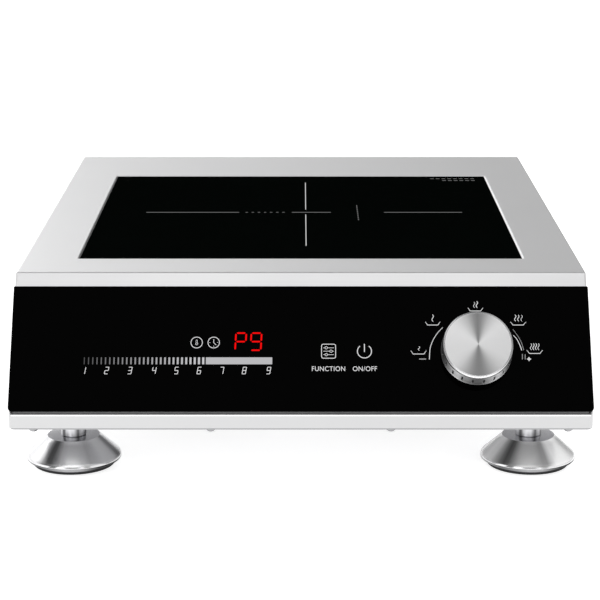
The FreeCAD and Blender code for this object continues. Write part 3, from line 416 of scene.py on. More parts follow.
KNOB_SIDE_PAINTED_REFLECTIONS = [
    (-180, 0.3), (-110, 0.05), (-85, 0.035), (-75, 0.045), (-65, 0.10), (-55, 0.31),
    (-45, 0.59), (-35, 0.71), (-25, 0.36), (-15, 0.23), (-5, 0.125), (5, 0.145), (15, 0.36),
    (25, 0.56), (35, 0.72), (45, 0.52), (55, 0.2), (65, 0.08), (75, 0.04), (85, 0.015),
    (110, 0.03), (180, 0.3),
]
KNOB_EDGE_PAINTED_HIGHLIGHTS = [
    (-180, 0.55), (-130, 0.5), (-90, 0.35), (-62, 0.45), (-38, 0.8), (-20, 1.0), (20, 1.0),
    (38, 0.8), (62, 0.45), (90, 0.35), (130, 0.5), (180, 0.55),
]

# foot cones: reflection streaks painted into the chrome's colour
CONE = reflection_painted_metal("foot_cone_painted_reflections", (0.74, 0.74, 0.75), roughness=0.26, stops=CONE_PAINTED_REFLECTIONS)
# the right feet get their own copy, half metal with other painted reflections, for the different
# light on that side
RIGHT_CONE = reflection_painted_metal("foot_cone_painted_reflections_right", grey(1.0), roughness=0.26,
                      stops=RIGHT_CONE_PAINTED_REFLECTIONS, metal=0.5)
DISC = brushed("foot_disc_chrome", (0.70, 0.70, 0.715), roughness=0.2, grain=FOOT_GRAIN,
               spread=0.02, tint=0.02, depth=0.0000008)
# bright band of the rim: a lighter copy of the foot chrome, a painted highlight
RIM = brushed("foot_rim_bright", (0.93, 0.93, 0.94), roughness=0.1, grain=FOOT_GRAIN,
              spread=0.02, tint=0.01, depth=0.0000006)
# lip under the rim: plain grey, not metal, with painted reflection streaks
LIP = reflection_painted_metal("foot_lip_painted_reflections", (0.40, 0.40, 0.41), roughness=0.35, stops=LIP_PAINTED_REFLECTIONS,
               metal=0.0, specular=0.06)
# stems: reflection streaks painted into the chrome's colour
dress(reflection_painted_metal("foot_stem_painted_reflections", (0.66, 0.66, 0.68), roughness=0.3, stops=STEM_PAINTED_REFLECTIONS),
      *each_foot("foot_stem_"))

KNOB_FACE = spun_aluminium_painted_shine("knob_face_painted_shine")
# side band of the knob: nearly matt white with painted reflection streaks
KNOB_SIDE = reflection_painted_metal("knob_side_painted_reflections", (1.0, 1.0, 1.01), roughness=0.4, stops=KNOB_SIDE_PAINTED_REFLECTIONS,
                     zero_axis=DOWN_SLOPE, repeats=1, metal=0.12, grain=(90, 90, 2600),
                     specular=0.25)
dress(KNOB_SIDE, "knob_cap")
# notches: near-black, painted shade in the flutes
KNOB_NOTCH_SHADE = plain("knob_notch_painted_shade", (0.03, 0.03, 0.032), roughness=0.5, metal=0.3, scale=1500)
# bevel of the knob: painted highlight, brightest at the front
KNOB_EDGE = reflection_painted_metal("knob_bright_edge", (0.92, 0.92, 0.93), roughness=0.25,
                     stops=KNOB_EDGE_PAINTED_HIGHLIGHTS, zero_axis=DOWN_SLOPE, repeats=1,
                     grain=(60, 60, 1800))

# ---------------------------------------------------------------- edges, prints, painted highlights and shade
# ground edge of the glass; the same grey also makes the dark strip of painted shadow under the
# panel
PANEL_EDGE_AND_SHADE = plain("panel_ground_edge_and_shade", (0.075, 0.075, 0.077), roughness=0.6, scale=1200,
                   tint=0.08, specular=0.15)
# polished bend: near-white strip, a painted highlight along the lower bend
BEND = brushed("bend_painted_highlight", grey(0.97), roughness=0.2, spread=0.03, tint=0.01,
               depth=0.000001)
# light lines on the plate edges: glowing strips, painted highlights
EDGE_HIGHLIGHT = glow("plate_edge_highlight", grey(1.0), strength=0.9)
EDGE_HIGHLIGHT_PALE = glow("plate_edge_highlight_pale", grey(1.0), strength=0.62)
PRINT_WHITE = glow("print_white", (0.96, 0.96, 0.97), strength=0.84)
PRINT_GREY = glow("print_grey", (0.95, 0.95, 0.96), strength=0.34)
BAR_ON = glow("print_bar", (0.97, 0.97, 1.0), strength=0.53)
BAR_FADE = glow("print_bar_fade", (0.97, 0.97, 1.0), strength=0.62,
                fade=dict(low=0.075, start=-0.150, end=-0.066))
DISPLAY_RED = glow("display_red", (1.0, 0.0, 0.0), strength=1.0)
# prints on the cooking plate glow though nothing lights them: real print with painted light
LINE_DIM = glow("print_line_dim", grey(0.9), strength=0.20)
LINE = glow("print_line", grey(0.95), strength=0.74)

for name, piece in NODES.items():
    piece.data.materials.clear()
    piece.data.materials.append(LOOKS[name].material)


# ---------------------------------------------------------------- objects and meshes
def make_object(name, mesh, mats, matrix, sharp_angle=None):
    """Turns the bmesh into an object, smooth up to the sharp angle if one is given."""
    data = bpy.data.meshes.new(name)
    bmesh.ops.recalc_face_normals(mesh, faces=mesh.faces)
    mesh.to_mesh(data)
    mesh.free()
    for mat in mats:
        data.materials.append(mat.material)
    made = bpy.data.objects.new(name, data)
    SCENE.collection.objects.link(made)
    if sharp_angle is not None:
        data.shade_smooth()
        data.set_sharp_from_angle(angle=math.radians(sharp_angle))
    made.matrix_world = matrix
    return made


def attach(made, group, replaces=None):
    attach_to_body(made, group)
    if replaces:
        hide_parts(replaces)


def add_print(name, mesh, mats):
    """A print on the control glass."""
    made = make_object(name, mesh, mats, panel_matrix(out=PANEL_GLASS))
    attach(made, "casing")


def add_face(mesh, corners, slot=0):
    mesh.faces.new(corners).material_index = slot


def lathe(mesh, profile, steps, slot_of=lambda i: 0):
    """Closed solid of revolution about z. profile: (radius, z) in mm from axis to axis."""
    rings = []
    for radius, z in profile:
        if radius < 1e-6:
            rings.append([mesh.verts.new((0, 0, z * MM))])
            continue
        turns = [2 * math.pi * k / steps for k in range(steps)]
        rings.append([mesh.verts.new((radius * MM * math.cos(turn), radius * MM * math.sin(turn),
                                      z * MM)) for turn in turns])
    for i, (ring, after) in enumerate(zip(rings, rings[1:])):
        for k in range(steps):
            q = (k + 1) % steps
            if len(ring) == 1:
                corners = (ring[0], after[k], after[q])
            elif len(after) == 1:
                corners = (ring[k], after[0], ring[q])
            else:
                corners = (ring[k], after[k], after[q], ring[q])
            add_face(mesh, corners, slot_of(i))
    return rings


# Prints reach from just under the surface to just above it
PRINT_LOW, PRINT_HIGH = -0.03, 0.035


def prism(mesh, points, low=PRINT_LOW, high=PRINT_HIGH, slot=0):
    """Closed prism over a polygon in the local xy plane, in millimetres."""
    bottom = [mesh.verts.new((x * MM, y * MM, low * MM)) for x, y in points]
    top = [mesh.verts.new((x * MM, y * MM, high * MM)) for x, y in points]
    add_face(mesh, bottom[::-1], slot)
    add_face(mesh, top, slot)
    for k in range(len(points)):
        q = (k + 1) % len(points)
        add_face(mesh, (bottom[k], bottom[q], top[q], top[k]), slot)


def strip(mesh, points, width, closed=False, slot=0):
    """A drawn line, mitred at its corners. width: one number, or a list with one per point."""
    points = [Vector(point) for point in points]
    count = len(points)
    widths = width if isinstance(width, list) else [width] * count
    left, right = [], []
    for i, point in enumerate(points):
        directions = []
        if closed or i > 0:
            directions.append((point - points[i - 1]).normalized())
        if closed or i < count - 1:
            directions.append((points[(i + 1) % count] - point).normalized())
        along = sum(directions, Vector((0, 0))).normalized()
        mitre = 1.0 / max(0.4, abs(along.dot(directions[0])))
        offset = Vector((-along.y, along.x)) * (widths[i] / 2 * mitre)
        left.append(point + offset)
        right.append(point - offset)
    left_low, left_high, right_low, right_high = [
        [mesh.verts.new((p.x * MM, p.y * MM, z * MM)) for p in side]
        for side in (left, right) for z in (PRINT_LOW, PRINT_HIGH)]
    walls = ((right_high, left_high), (left_low, right_low),
             (left_high, left_low), (right_low, right_high))
    for i in range(count if closed else count - 1):
        j = (i + 1) % count
        for first, second in walls:
            add_face(mesh, (first[i], first[j], second[j], second[i]), slot)
    if not closed:
        add_face(mesh, (left_low[0], right_low[0], right_high[0], left_high[0]), slot)
        add_face(mesh, (left_high[-1], right_high[-1], right_low[-1], left_low[-1]), slot)


def rectangle(x0, x1, y0, y1):
    return [(x0, y0), (x1, y0), (x1, y1), (x0, y1)]


def arc(x, y, radius, start, end, steps):
    """Points on an arc; angles in degrees."""
    turns = [math.radians(start + (end - start) * k / steps) for k in range(steps + 1)]
    return [(x + radius * math.cos(turn), y + radius * math.sin(turn)) for turn in turns]


def circle(mesh, x, y, radius, width, steps=40):
    strip(mesh, arc(x, y, radius, 0, 360, steps)[:-1], width, closed=True)


def rounded(x, y, width, height, radius, steps):
    """Rectangle with rounded corners about its centre."""
    points = []
    for side_x, side_y, start in ((1, -1, -90), (1, 1, 0), (-1, 1, 90), (-1, -1, 180)):
        corner_x = x + side_x * (width / 2 - radius)
        corner_y = y + side_y * (height / 2 - radius)
        points += arc(corner_x, corner_y, radius, start, start + 90, steps)
    return points


def catmull_rom(points, steps):
    """A smooth curve through the points."""
    curve = []
    for i in range(len(points) - 1):
        near = (points[max(0, i - 1)], points[i], points[i + 1],
                points[min(len(points) - 1, i + 2)])
        for k in range(steps):
            t = k / steps
            curve.append(tuple(
                0.5 * (2 * b + (c - a) * t + (2 * a - 5 * b + 4 * c - d) * t * t
                       + (3 * b - a - 3 * c + d) * t ** 3)
                for a, b, c, d in zip(*near)))
    curve.append(points[-1])
    return curve


# ---------------------------------------------------------------- display, bar and numerals
# Ends of the seven segments, in parts of the figure's width and height
SEGMENTS = {
    "a": ((0, 1), (1, 1)), "b": ((1, 1), (1, 0.5)), "c": ((1, 0.5), (1, 0)),
    "d": ((0, 0), (1, 0)), "e": ((0, 0), (0, 0.5)), "f": ((0, 0.5), (0, 1)),
    "g": ((0, 0.5), (1, 0.5)),
}
FIGURES = {
    "1": "bc", "2": "abged", "3": "abgcd", "4": "fgbc", "5": "afgcd", "6": "afgedc",
    "7": "abc", "8": "abcdefg", "9": "abcdfg", "P": "abefg",
}
DISPLAY_STYLE = dict(width=8.2, height=13.6, stroke=1.12, slant=0.045, gap=0.45)
NUMERAL_STYLE = dict(width=2.75, height=5.3, stroke=0.46, slant=0.165, gap=-0.06)


def draw_figure(mesh, figure, x, y, width, height, stroke, slant, gap):
    """Seven-segment figure; x, y is its lower left corner."""
    half = stroke / 2
    for segment in FIGURES[figure]:
        start, end = [Vector((across * (width - stroke) + half, up * (height - stroke) + half))
                      for across, up in SEGMENTS[segment]]
        along = (end - start).normalized()
        side = Vector((-along.y, along.x)) * half
        start += along * gap
        end -= along * gap
        tip = along * half
        outline = (start, start + tip + side, end - tip + side,
                   end, end - tip - side, start + tip - side)
        prism(mesh, [(x + p.x + p.y * slant, y + p.y) for p in outline])


def build_display():
    mesh = bmesh.new()
    for figure, u in zip("P9", FIGURES_U):
        draw_figure(mesh, figure, u, DISPLAY_V, **DISPLAY_STYLE)
    add_print("display_digits", mesh, [DISPLAY_RED])


def build_level_bar():
    """Separate bars that widen to the right, then one solid bar."""
    low, high = -69.65, -64.65
    count, first_u, pitch = 29, -149.2, 2.905
    first_width, growth = 0.62, 0.88
    mesh = bmesh.new()
    for i in range(count):
        u = first_u + pitch * i
        width = first_width + growth * i / (count - 1)
        prism(mesh, rectangle(u, u + width, low, high))
    solid = rounded(-42.5, (low + high) / 2, width=45.6, height=high - low, radius=0.25, steps=3)
    prism(mesh, solid, slot=1)
    add_print("level_bar_print", mesh, [BAR_FADE, BAR_ON])


def build_numerals():
    width = NUMERAL_STYLE["width"]
    slant_shift = 0.44
    mesh = bmesh.new()
    for i, centre in enumerate(NUMERALS_U):
        # the 1 fills only the right side of its cell
        one_shift = width / 2 - 0.25 if i == 0 else 0
        u = centre - slant_shift - width / 2 - one_shift
        draw_figure(mesh, str(i + 1), u, NUMERALS_V, **NUMERAL_STYLE)
    add_print("level_numerals", mesh, [PRINT_WHITE])


# ---------------------------------------------------------------- icons
def draw_lamps(mesh):
    for x, y in LAMPS:
        circle(mesh, x, y, radius=3.95, width=0.46)
    x, y = LAMPS[0]     # thermometer
    circle(mesh, x, y - 0.95, radius=0.72, width=0.3, steps=20)
    tube = [(-0.5, -0.1), (-0.5, 1.5), (0, 1.95), (0.5, 1.5), (0.5, -0.1)]
    strip(mesh, [(x + dx, y + dy) for dx, dy in tube], width=0.24)
    x, y = LAMPS[1]     # clock hands and hour marks
    strip(mesh, [(x, y + 2.4), (x, y - 0.1), (x + 1.7, y - 1.8)], width=0.4)
    for dx, dy in ((2.85, 0), (-2.85, 0), (0, -2.85)):
        ends = [(x + dx * reach, y + dy * reach) for reach in (0.84, 1.06)]
        strip(mesh, ends, width=0.32)


def draw_function_key(mesh):
    """Three sliders in a rounded square."""
    x, y = FUNCTION_KEY
    reach, gap, line = 3.6, 0.95, 0.32
    frame_line = rounded(x, y, width=9.7, height=10.2, radius=1.3, steps=6)
    strip(mesh, frame_line, width=0.48, closed=True)
    for dy, button in ((2.45, -1.6), (0.0, 1.7), (-2.5, -1.6)):
        strip(mesh, [(x - reach, y + dy), (x + button - gap, y + dy)], line)
        strip(mesh, [(x + button + gap, y + dy), (x + reach, y + dy)], line)
        circle(mesh, x + button, y + dy, radius=0.88, width=line, steps=24)


def draw_on_off_key(mesh):
    x, y = ON_OFF_KEY
    strip(mesh, arc(x, y, radius=4.85, start=129, end=411, steps=44), width=0.56)
    strip(mesh, [(x, y + 5.3), (x, y - 0.45)], width=0.6)


# A wisp of steam: (part of the way down, sideways)
STEAM = ((0.0, -0.1), (0.12, 0.38), (0.26, 0.62), (0.38, 0.42), (0.5, -0.05),
         (0.62, -0.45), (0.75, -0.5), (0.88, -0.12), (1.0, 0.3))
# Pans round the knob: (u of left rim, left base, right base, right rim), (v of rim, v of base),
# wisps of steam as (u, v of foot, v of top, width)
PANS = (
    ((75.7, 77.3, 84.7, 86.4), (-59.8, -62.2), [(81.35, -59.7, -56.6, 0.5)]),
    ((86.1, 87.7, 94.8, 96.4), (-38.7, -41.05), [(91.3, -38.6, -33.3, 0.6)]),
    ((115.9, 117.5, 124.7, 126.4), (-28.4, -30.7),
     [(120.3, -28.4, -24.0, 0.42), (122.2, -28.4, -23.5, 0.7)]),
    ((145.1, 146.8, 153.9, 155.9), (-38.7, -41.05),
     [(148.5, -38.4, -33.4, 0.6), (150.6, -38.4, -33.5, 0.6), (152.9, -38.4, -33.6, 0.42)]),
    ((155.6, 157.4, 164.6, 166.5), (-59.4, -61.8),
     [(158.6 + 1.72 * k, -59.4, -54.4, w) for k, w in enumerate((0.5, 0.62, 0.62, 0.5))]),
)
# Straight strokes near the knob: two ends, width, slot (0 white, 1 grey)
SIGNS = (
    ([(81.4, -65.85), (86.1, -65.85)], 0.78, 1),        # minus
    ([(155.55, -65.85), (158.3, -65.85)], 0.75, 0),     # plus
    ([(156.92, -67.2), (156.92, -64.5)], 0.75, 0),
)
SIDE_STROKES = (
    ([(152.5, -62.2), (152.36, -66.1)], 0.5, 1),
    ([(154.4, -62.5), (154.28, -66.1)], 0.5, 1),
)
# Tapering curves beside the knob: points, first width, last width, slot
SWEEPS = (
    ([(88.35, -66.1), (88.9, -59.3), (89.75, -55.6), (91.9, -50.8), (94.8, -46.4),
      (98.1, -42.9)], 0.52, 0.34, 0),
    ([(146.6, -44.2), (149.3, -48.3), (151.5, -52.3), (152.75, -56.1), (153.5, -59.4)],
     0.28, 0.4, 1),
    ([(146.8, -48.6), (148.8, -51.0), (150.2, -53.8), (151.45, -57.1), (152.1, -59.5)],
     0.36, 0.56, 0),
)


def draw_steam(mesh, u, foot, top, width):
    points = [(u + aside * 0.95, top + (foot - top) * down) for down, aside in STEAM]
    width *= 0.76
    widths = [width * (0.45 if down in (0.0, 1.0) else 1.0) for down, _ in STEAM]
    strip(mesh, points, widths)


def draw_power_marks(mesh):
    """Shallow pans with rising steam, minus and plus, and the curves between them."""
    line = 0.46
    for across, (rim, base), wisps in PANS:
        strip(mesh, list(zip(across, (rim, base, base, rim))),
              [line * 0.6, line, line, line * 0.6])
        for wisp in wisps:
            draw_steam(mesh, *wisp)
    for ends, width, slot in SIGNS:
        strip(mesh, ends, width, slot=slot)
    for points, first, last, slot in SWEEPS:
        curve = catmull_rom(points, steps=6)
        final = len(curve) - 1
        widths = [first + (last - first) * k / final for k in range(final + 1)]
        strip(mesh, curve, widths, slot=slot)
    for ends, width, slot in SIDE_STROKES:
        strip(mesh, ends, width, slot=slot)


def build_icons():
    mesh = bmesh.new()
    draw_lamps(mesh)
    draw_function_key(mesh)
    draw_on_off_key(mesh)
    draw_power_marks(mesh)
    add_print("panel_icons", mesh, [PRINT_WHITE, PRINT_GREY])


def build_word(name, text, left, right):
    """Lettering in Blender's own font, fitted between two places."""
    curve = bpy.data.curves.new(name + "_c", "FONT")
    curve.body = text
    curve.size = 1.0
    curve.extrude = 0.01
    curve.space_character = 1.06
    letters = bpy.data.objects.new(name + "_t", curve)
    SCENE.collection.objects.link(letters)
    bpy.context.view_layer.update()
    evaluated = letters.evaluated_get(bpy.context.evaluated_depsgraph_get())
    data = bpy.data.meshes.new_from_object(evaluated)
    bpy.data.objects.remove(letters)
    mesh = bmesh.new()
    mesh.from_mesh(data)
    bpy.data.meshes.remove(data)
    bmesh.ops.remove_doubles(mesh, verts=mesh.verts, dist=1e-5)
    xs = [vert.co.x for vert in mesh.verts]
    ys = [vert.co.y for vert in mesh.verts]
    x0, x1, y0, y1 = min(xs), max(xs), min(ys), max(ys)
    for vert in mesh.verts:
        u = left + (vert.co.x - x0) / (x1 - x0) * (right - left)
        v = KEY_WORDS_V + ((vert.co.y - y0) / (y1 - y0) - 0.5) * KEY_WORD_HEIGHT
        z = PRINT_HIGH if vert.co.z > 0 else PRINT_LOW
        vert.co = Vector((u * MM, v * MM, z * MM))
    for face in mesh.faces:
        face.material_index = 0
    add_print(name, mesh, [PRINT_WHITE])


# ---------------------------------------------------------------- lower edge of the panel, with a painted highlight and painted shadow
def build_panel_edge():
    """Ground lower edge of the control glass, a thin band over the chamfer."""
    half, thickness = HALF_WIDTH - 3.4, 0.02
    mesh = bmesh.new()
    prism(mesh, rectangle(-half, half, 0.0, thickness), low=0.5, high=4.6)
    matrix = panel_matrix(v=-(PANEL_LENGTH + thickness))
    made = make_object("panel_lower_edge", mesh, [PANEL_EDGE_AND_SHADE], matrix)
    attach(made, "casing")


def build_bend_highlight_and_shadow():
    """Painted highlight: a near-white polished strip along the lower bend of the casing, and a dark
    strip of painted shadow above it.
    """
    foot_z = TOP_Z - PANEL_LENGTH * MM * SLOPE_COS
    # local y is up and local z points to the front
    matrix = Matrix(((1, 0, 0, 0), (0, 0, -1, shell_low.y), (0, 1, 0, foot_z), (0, 0, 0, 1)))
    # name, inset from the side, bottom, top, stand-off in front, material
    for name, inset, bottom, top, stand, mat in (
            ("lower_bend_painted_highlight", 1.7, -1.75, -0.75, 0.05, BEND),
            ("panel_painted_shadow", 1.2, -0.7, 0.25, 0.04, PANEL_EDGE_AND_SHADE)):
        half = HALF_WIDTH - inset
        mesh = bmesh.new()
        prism(mesh, rectangle(-half, half, bottom, top), low=-0.3, high=stand)
        attach(make_object(name, mesh, [mat], matrix), "casing")


# ---------------------------------------------------------------- prints and painted edge highlights on the cooking plate
def add_plate_print(name, mesh, mats):
    """x across, y back from the front bend, both in millimetres."""
    made = make_object(name, mesh, mats, Matrix.Translation((0, BEND_Y, PLATE_Z)))
    attach(made, "casing")


def build_zone_mark():
    centre_y = 208.7
    mesh = bmesh.new()

    def level(x0, x1, y, width):
        strip(mesh, [(x0, y), (x1, y)], width)

    for x0, x1 in ((-123.8, -49.5), (-7.2, 24.0), (66.6, 129.1)):
        level(x0, x1, centre_y, width=1.7)
    for y0, y1 in ((86.2, 200.1), (219.8, 334.2)):
        strip(mesh, [(3.9, y0), (3.9, y1)], width=0.62, slot=1)
    for k in range(7):      # dashes left of the centre
        x = -44.3 + 4.9 * k
        level(x, x + 1.9, centre_y, width=1.5)
    for k in range(8):      # dashes running back, right of the centre
        y = 178.9 + 7.6 * k
        strip(mesh, [(45.4, y), (45.4, y + 4.4)], width=0.8)
    for row in range(2):    # two rows of dashes at the rear right
        for k in range(8 - 2 * row):
            x = 112.4 + 10.0 * row + 5.0 * k
            level(x, x + 3.2, 352.6 - 8.5 * row, width=1.8)
    add_plate_print("cooking_zone_mark", mesh, [LINE_DIM, LINE])


def build_plate_edge_light():
    """Painted highlights: glowing strips for the light caught by the ground edge of the plate:
    right, rear and front.
    """
    side, front, rear = 160.4, 42.9, 363.9
    right_end = side - 0.6
    mesh = bmesh.new()
    strip(mesh, [(side, front), (side, rear)], width=1.0)
    strip(mesh, [(-side, rear), (right_end, rear)], width=0.8, slot=1)
    strip(mesh, [(-side, front), (right_end, front)], width=0.7, slot=1)
    add_plate_print("plate_edge_light", mesh, [EDGE_HIGHLIGHT, EDGE_HIGHLIGHT_PALE])


# ---------------------------------------------------------------- knob
KNOB_BASE = 5.6         # underside of the knob above the slope
KNOB_STEPS = 480
FLUTES = 20
FLUTE_DEPTH = 0.6
# (radius, height): under the top, down the bore, up the outside and over the face
KNOB_PROFILE = [
    (0, 11.6), (20.6, 11.6), (20.6, 0.0), (24.4, 0.0), (24.6, 0.08), (24.7, 0.28),
    (24.7, 1.15), (24.58, 1.36), (23.95, 1.45), (23.95, 2.08), (24.3, 2.18), (24.32, 2.32),
    (24.28, 9.15), (24.27, 9.3), (24.22, 12.6), (24.17, 13.1), (24.05, 13.5), (23.87, 13.85),
    (23.62, 14.15), (23.32, 14.38), (22.98, 14.53), (22.6, 14.6), (0, 14.6),
]
FLUTE_RINGS = (11, 12)      # profile points at the ends of the flutes
KNOB_EDGE_START = 14        # profile point where the edge with the painted highlight begins


def knob_slot(i):
    if i == len(KNOB_PROFILE) - 2:
        return 0
    return 2 if i >= KNOB_EDGE_START else 1


def build_knob():
    mesh = bmesh.new()
    profile = [(radius, KNOB_BASE + height) for radius, height in KNOB_PROFILE]
    rings = lathe(mesh, profile, KNOB_STEPS, knob_slot)
    # short flutes in the side band, three points wide
    pitch = KNOB_STEPS // FLUTES
    cut = set()
    for i in FLUTE_RINGS:
        for k, vert in enumerate(rings[i]):
            if (k + pitch // 2) % pitch in (0, 1, pitch - 1):
                outward = Vector((vert.co.x, vert.co.y, 0)).normalized()
                vert.co -= outward * FLUTE_DEPTH * MM
                cut.add(vert)
    # faces in the flutes get the notch material: painted shade
    for face in mesh.faces:
        if sum(vert in cut for vert in face.verts) >= 2:
            face.material_index = 3
    knob = make_object("knob_shell", mesh, [KNOB_FACE, KNOB_SIDE, KNOB_EDGE, KNOB_NOTCH_SHADE],
                       panel_matrix(*KNOB_CENTRE), sharp_angle=28)
    attach(knob, "knob", replaces="knob_cap")


# ---------------------------------------------------------------- feet
# (radius, z) outlines, followed from the axis outwards and down
FOOT_DISC = [(0, 9.0), (5.06, 9.0), (5.06, 21.3), (5.3, 21.5), (17.9, 21.5), (18.2, 21.42),
             (18.42, 21.2)]
CONE_TOP = (18.55, 20.9)
CONE_FOOT = (31.2, 9.35)
FOOT_RIM = [CONE_FOOT, (32.3, 8.25), (33.0, 7.15), (33.3, 6.1), (33.15, 5.2), (32.5, 4.45),
            (31.4, 3.9), (30.0, 3.55)]
SOLE_TOP = 2.6
FOOT_UNDERSIDE = [(29.2, 3.0), (29.0, SOLE_TOP), (0, SOLE_TOP)]
CONE_STEPS = 6
RIM_TOP, LIP_TOP = 7.3, 6.0     # the painted highlight band of the rim and the lip with painted reflections below it begin near these heights


def foot_profile():
    cone = [tuple(top + (foot - top) * k / CONE_STEPS for top, foot in zip(CONE_TOP, CONE_FOOT))
            for k in range(CONE_STEPS)]
    return FOOT_DISC + cone + catmull_rom(FOOT_RIM, steps=5) + FOOT_UNDERSIDE


def build_foot_cone(foot, matrix):
    profile = foot_profile()
    rim_start, lip_start = [max(i for i, (_, z) in enumerate(profile) if z > height)
                            for height in (RIM_TOP, LIP_TOP)]

    def slot_of(i):
        if i < len(FOOT_DISC) - 1:
            return 1
        if i < rim_start:
            return 0
        return 2 if i < lip_start else 3

    mesh = bmesh.new()
    lathe(mesh, profile, 192, slot_of)
    cone = RIGHT_CONE if foot.endswith("right") else CONE
    made = make_object("foot_cone_" + foot, mesh, [cone, DISC, RIM, LIP], matrix, sharp_angle=30)
    attach(made, "foot_" + foot, replaces="foot_base_" + foot)


def build_foot_sole(foot, matrix):
    """Rubber sole with five round ribs underneath."""
    groove = 0.5
    profile = [(0, groove)]
    for k in range(5):
        r = 5.0 + 4.6 * k
        profile += [(r, groove), (r + 0.3, 0.0), (r + 2.6, 0.0), (r + 2.9, groove)]
    profile += [(27.6, 0.3), (28.2, 0.5), (28.6, 0.9), (28.6, SOLE_TOP), (0, SOLE_TOP)]
    mesh = bmesh.new()
    lathe(mesh, profile, 128)
    made = make_object("foot_sole_" + foot, mesh, [RUBBER], matrix, sharp_angle=30)
    attach(made, "foot_" + foot, replaces="foot_pad_" + foot)


# ---------------------------------------------------------------- stage, light and camera
def build_floor():
    size = 12.0
    mesh = bmesh.new()
    corners = rectangle(-size, size, -size, size)
    mesh.faces.new([mesh.verts.new((x, y, 0)) for x, y in corners])
    mat = plain("floor_pale", grey(0.62), roughness=0.9, scale=30, tint=0.01, depth=0.0,
                specular=0.0)
    # clear from below; in polished metal a little less bright than to the eye
    glossy = mat.node("ShaderNodeLightPath").outputs["Is Glossy Ray"]
    back = mat.node("ShaderNodeNewGeometry").outputs["Backfacing"]
    mat.set(Emission_Color=(1, 1, 1, 1),
            Emission_Strength=mat.span(glossy, low=0.80, high=0.54, start=0.0, end=1.0),
            Alpha=mat.span(back, low=1.0, high=0.0, start=0.0, end=1.0))
    make_object("floor", mesh, [mat], Matrix.Translation((0, 0, -0.0005)))


# Bands of the studio in degrees: begins, full, fading, gone.
# Heights run from 0 in front over 90 overhead to 180 behind.
SOFTBOX_HEIGHT = (30.0, 44.0, 66.0, 82.0)
PATCH_HEIGHT = (161.0, 164.5, 172.0, 175.0)
# Sideways angles run from 0 in front, positive to the right.
LEFT_FLAG = (-64.0, -54.0, -44.0, -34.0)
RIGHT_FLAG = (26.0, 34.0, 42.0, 50.0)


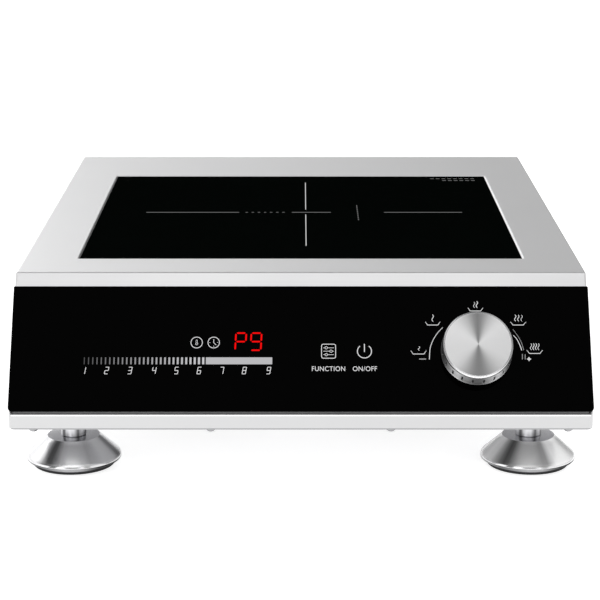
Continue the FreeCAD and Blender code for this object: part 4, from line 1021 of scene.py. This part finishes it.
def build_world():
    """Plain white for the eye and for matt surfaces; glossy rays see a studio.

    It has softboxes left and right, one high in front, and a falling tone behind.
    """
    world = bpy.data.worlds.new("studio")
    SCENE.world = world
    world.use_nodes = True
    nodes = Nodes(world.node_tree)
    calc, span = nodes.calc, nodes.span

    def soft(value, start, end, low=0.0, high=1.0):
        return span(value, low, high, start, end, smooth=True)

    def band(value, begins, full, fading, gone):
        return calc("MULTIPLY", soft(value, begins, full),
                    soft(value, fading, gone, low=1.0, high=0.0))

    def mix(factor, first, second):
        kept = calc("MULTIPLY", first, calc("SUBTRACT", 1.0, factor))
        return calc("ADD", kept, calc("MULTIPLY", second, factor))

    def darken(value, amount):
        return calc("MULTIPLY", value, calc("SUBTRACT", 1.0, amount))

    split = nodes.node("ShaderNodeSeparateXYZ")
    direction = nodes.node("ShaderNodeTexCoord").outputs["Generated"]
    nodes.feed(direction, split.inputs[0])
    x, y, z = split.outputs

    def angle_from_front(part):
        turn = calc("ARCTAN2", part, calc("MULTIPLY", y, -1.0))
        return calc("MULTIPLY", turn, 180.0 / math.pi)

    height = angle_from_front(z)
    aside = calc("ABSOLUTE", x)

    # in front: the high softbox in the middle, the side softboxes beyond it
    softbox = calc("MULTIPLY", band(height, *SOFTBOX_HEIGHT), 1.35)
    low_front = calc("MULTIPLY", soft(height, start=8.0, end=28.0, low=1.0, high=0.0), 0.55)
    middle = calc("ADD", calc("ADD", 0.22, softbox), low_front)
    sides = calc("MULTIPLY", span(x, low=1.55, high=0.85, start=-0.6, end=0.6),
                 soft(x, start=-0.9, end=-0.6, low=0.68))
    ahead = mix(soft(aside, start=0.16, end=0.42), middle, sides)

    # behind: bright on the left and falling to the right, with a lift at the far right
    behind = calc("MULTIPLY", span(x, low=3.0, high=0.17, start=-0.34, end=0.34),
                  soft(x, start=-0.54, end=-0.28, low=0.31))
    behind = calc("ADD", behind, soft(x, start=0.5, end=0.85, high=0.55))
    sky = mix(soft(height, start=138.0, end=156.0), ahead, behind)

    # a dark patch low behind
    patch = calc("MULTIPLY", band(height, *PATCH_HEIGHT),
                 soft(aside, start=0.15, end=0.20, low=1.0, high=0.0))
    sky = darken(sky, patch)

    # two dark flags that add reflected streaks on the chromed feet and on the knob side, over the
    # streaks painted into their colour
    sideways = angle_from_front(x)
    left = calc("MULTIPLY", band(sideways, *LEFT_FLAG), 0.85)
    right = calc("MULTIPLY", band(sideways, *RIGHT_FLAG), 0.5)
    sky = darken(sky, calc("ADD", left, right))

    glossy = nodes.node("ShaderNodeLightPath").outputs["Is Glossy Ray"]
    background = nodes.tree.nodes["Background"]
    nodes.feed(mix(glossy, 1.0, sky), background.inputs["Strength"])
    background.inputs["Color"].default_value = (1, 1, 1, 1)


def add_light():
    """A square light from the front left, unseen in reflections."""
    place, target = Vector((-1.6, -0.9, 1.5)), Vector((0, 0, 0.08))
    lamp = bpy.data.lights.new("key_left", "AREA")
    lamp.energy = 8
    lamp.shape = "RECTANGLE"
    lamp.size = lamp.size_y = 1.2
    light = bpy.data.objects.new("key_left", lamp)
    SCENE.collection.objects.link(light)
    light.location = place
    light.rotation_euler = (target - place).to_track_quat("-Z", "Y").to_euler()
    light.visible_glossy = False


def add_camera():
    """In front of the cooktop, looking slightly down."""
    lens = bpy.data.cameras.new("camera")
    camera = bpy.data.objects.new("camera", lens)
    SCENE.collection.objects.link(camera)
    lens.sensor_width = 36.0
    lens.lens = 121.6296
    lens.shift_x = -0.00141167
    lens.clip_start = 0.05
    lens.clip_end = 60.0
    camera.location = (0.0, BEND_Y - 1.382919, TOP_Z + 0.329321)
    camera.rotation_euler = (math.radians(90 - 14.181), 0, 0)
    SCENE.camera = camera


# ---------------------------------------------------------------- build
build_display()
build_level_bar()
build_numerals()
build_icons()
build_word("key_word_function", "FUNCTION", left=7.6, right=30.4)
build_word("key_word_on_off", "ON/OFF", left=35.7, right=52.3)
build_panel_edge()
build_bend_highlight_and_shadow()
build_zone_mark()
build_plate_edge_light()
build_knob()
for foot in FEET:
    low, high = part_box("foot_base_" + foot)
    foot_matrix = Matrix.Translation(((low.x + high.x) / 2, (low.y + high.y) / 2, 0))
    build_foot_cone(foot, foot_matrix)
    build_foot_sole(foot, foot_matrix)
build_floor()
build_world()
add_light()
add_camera()
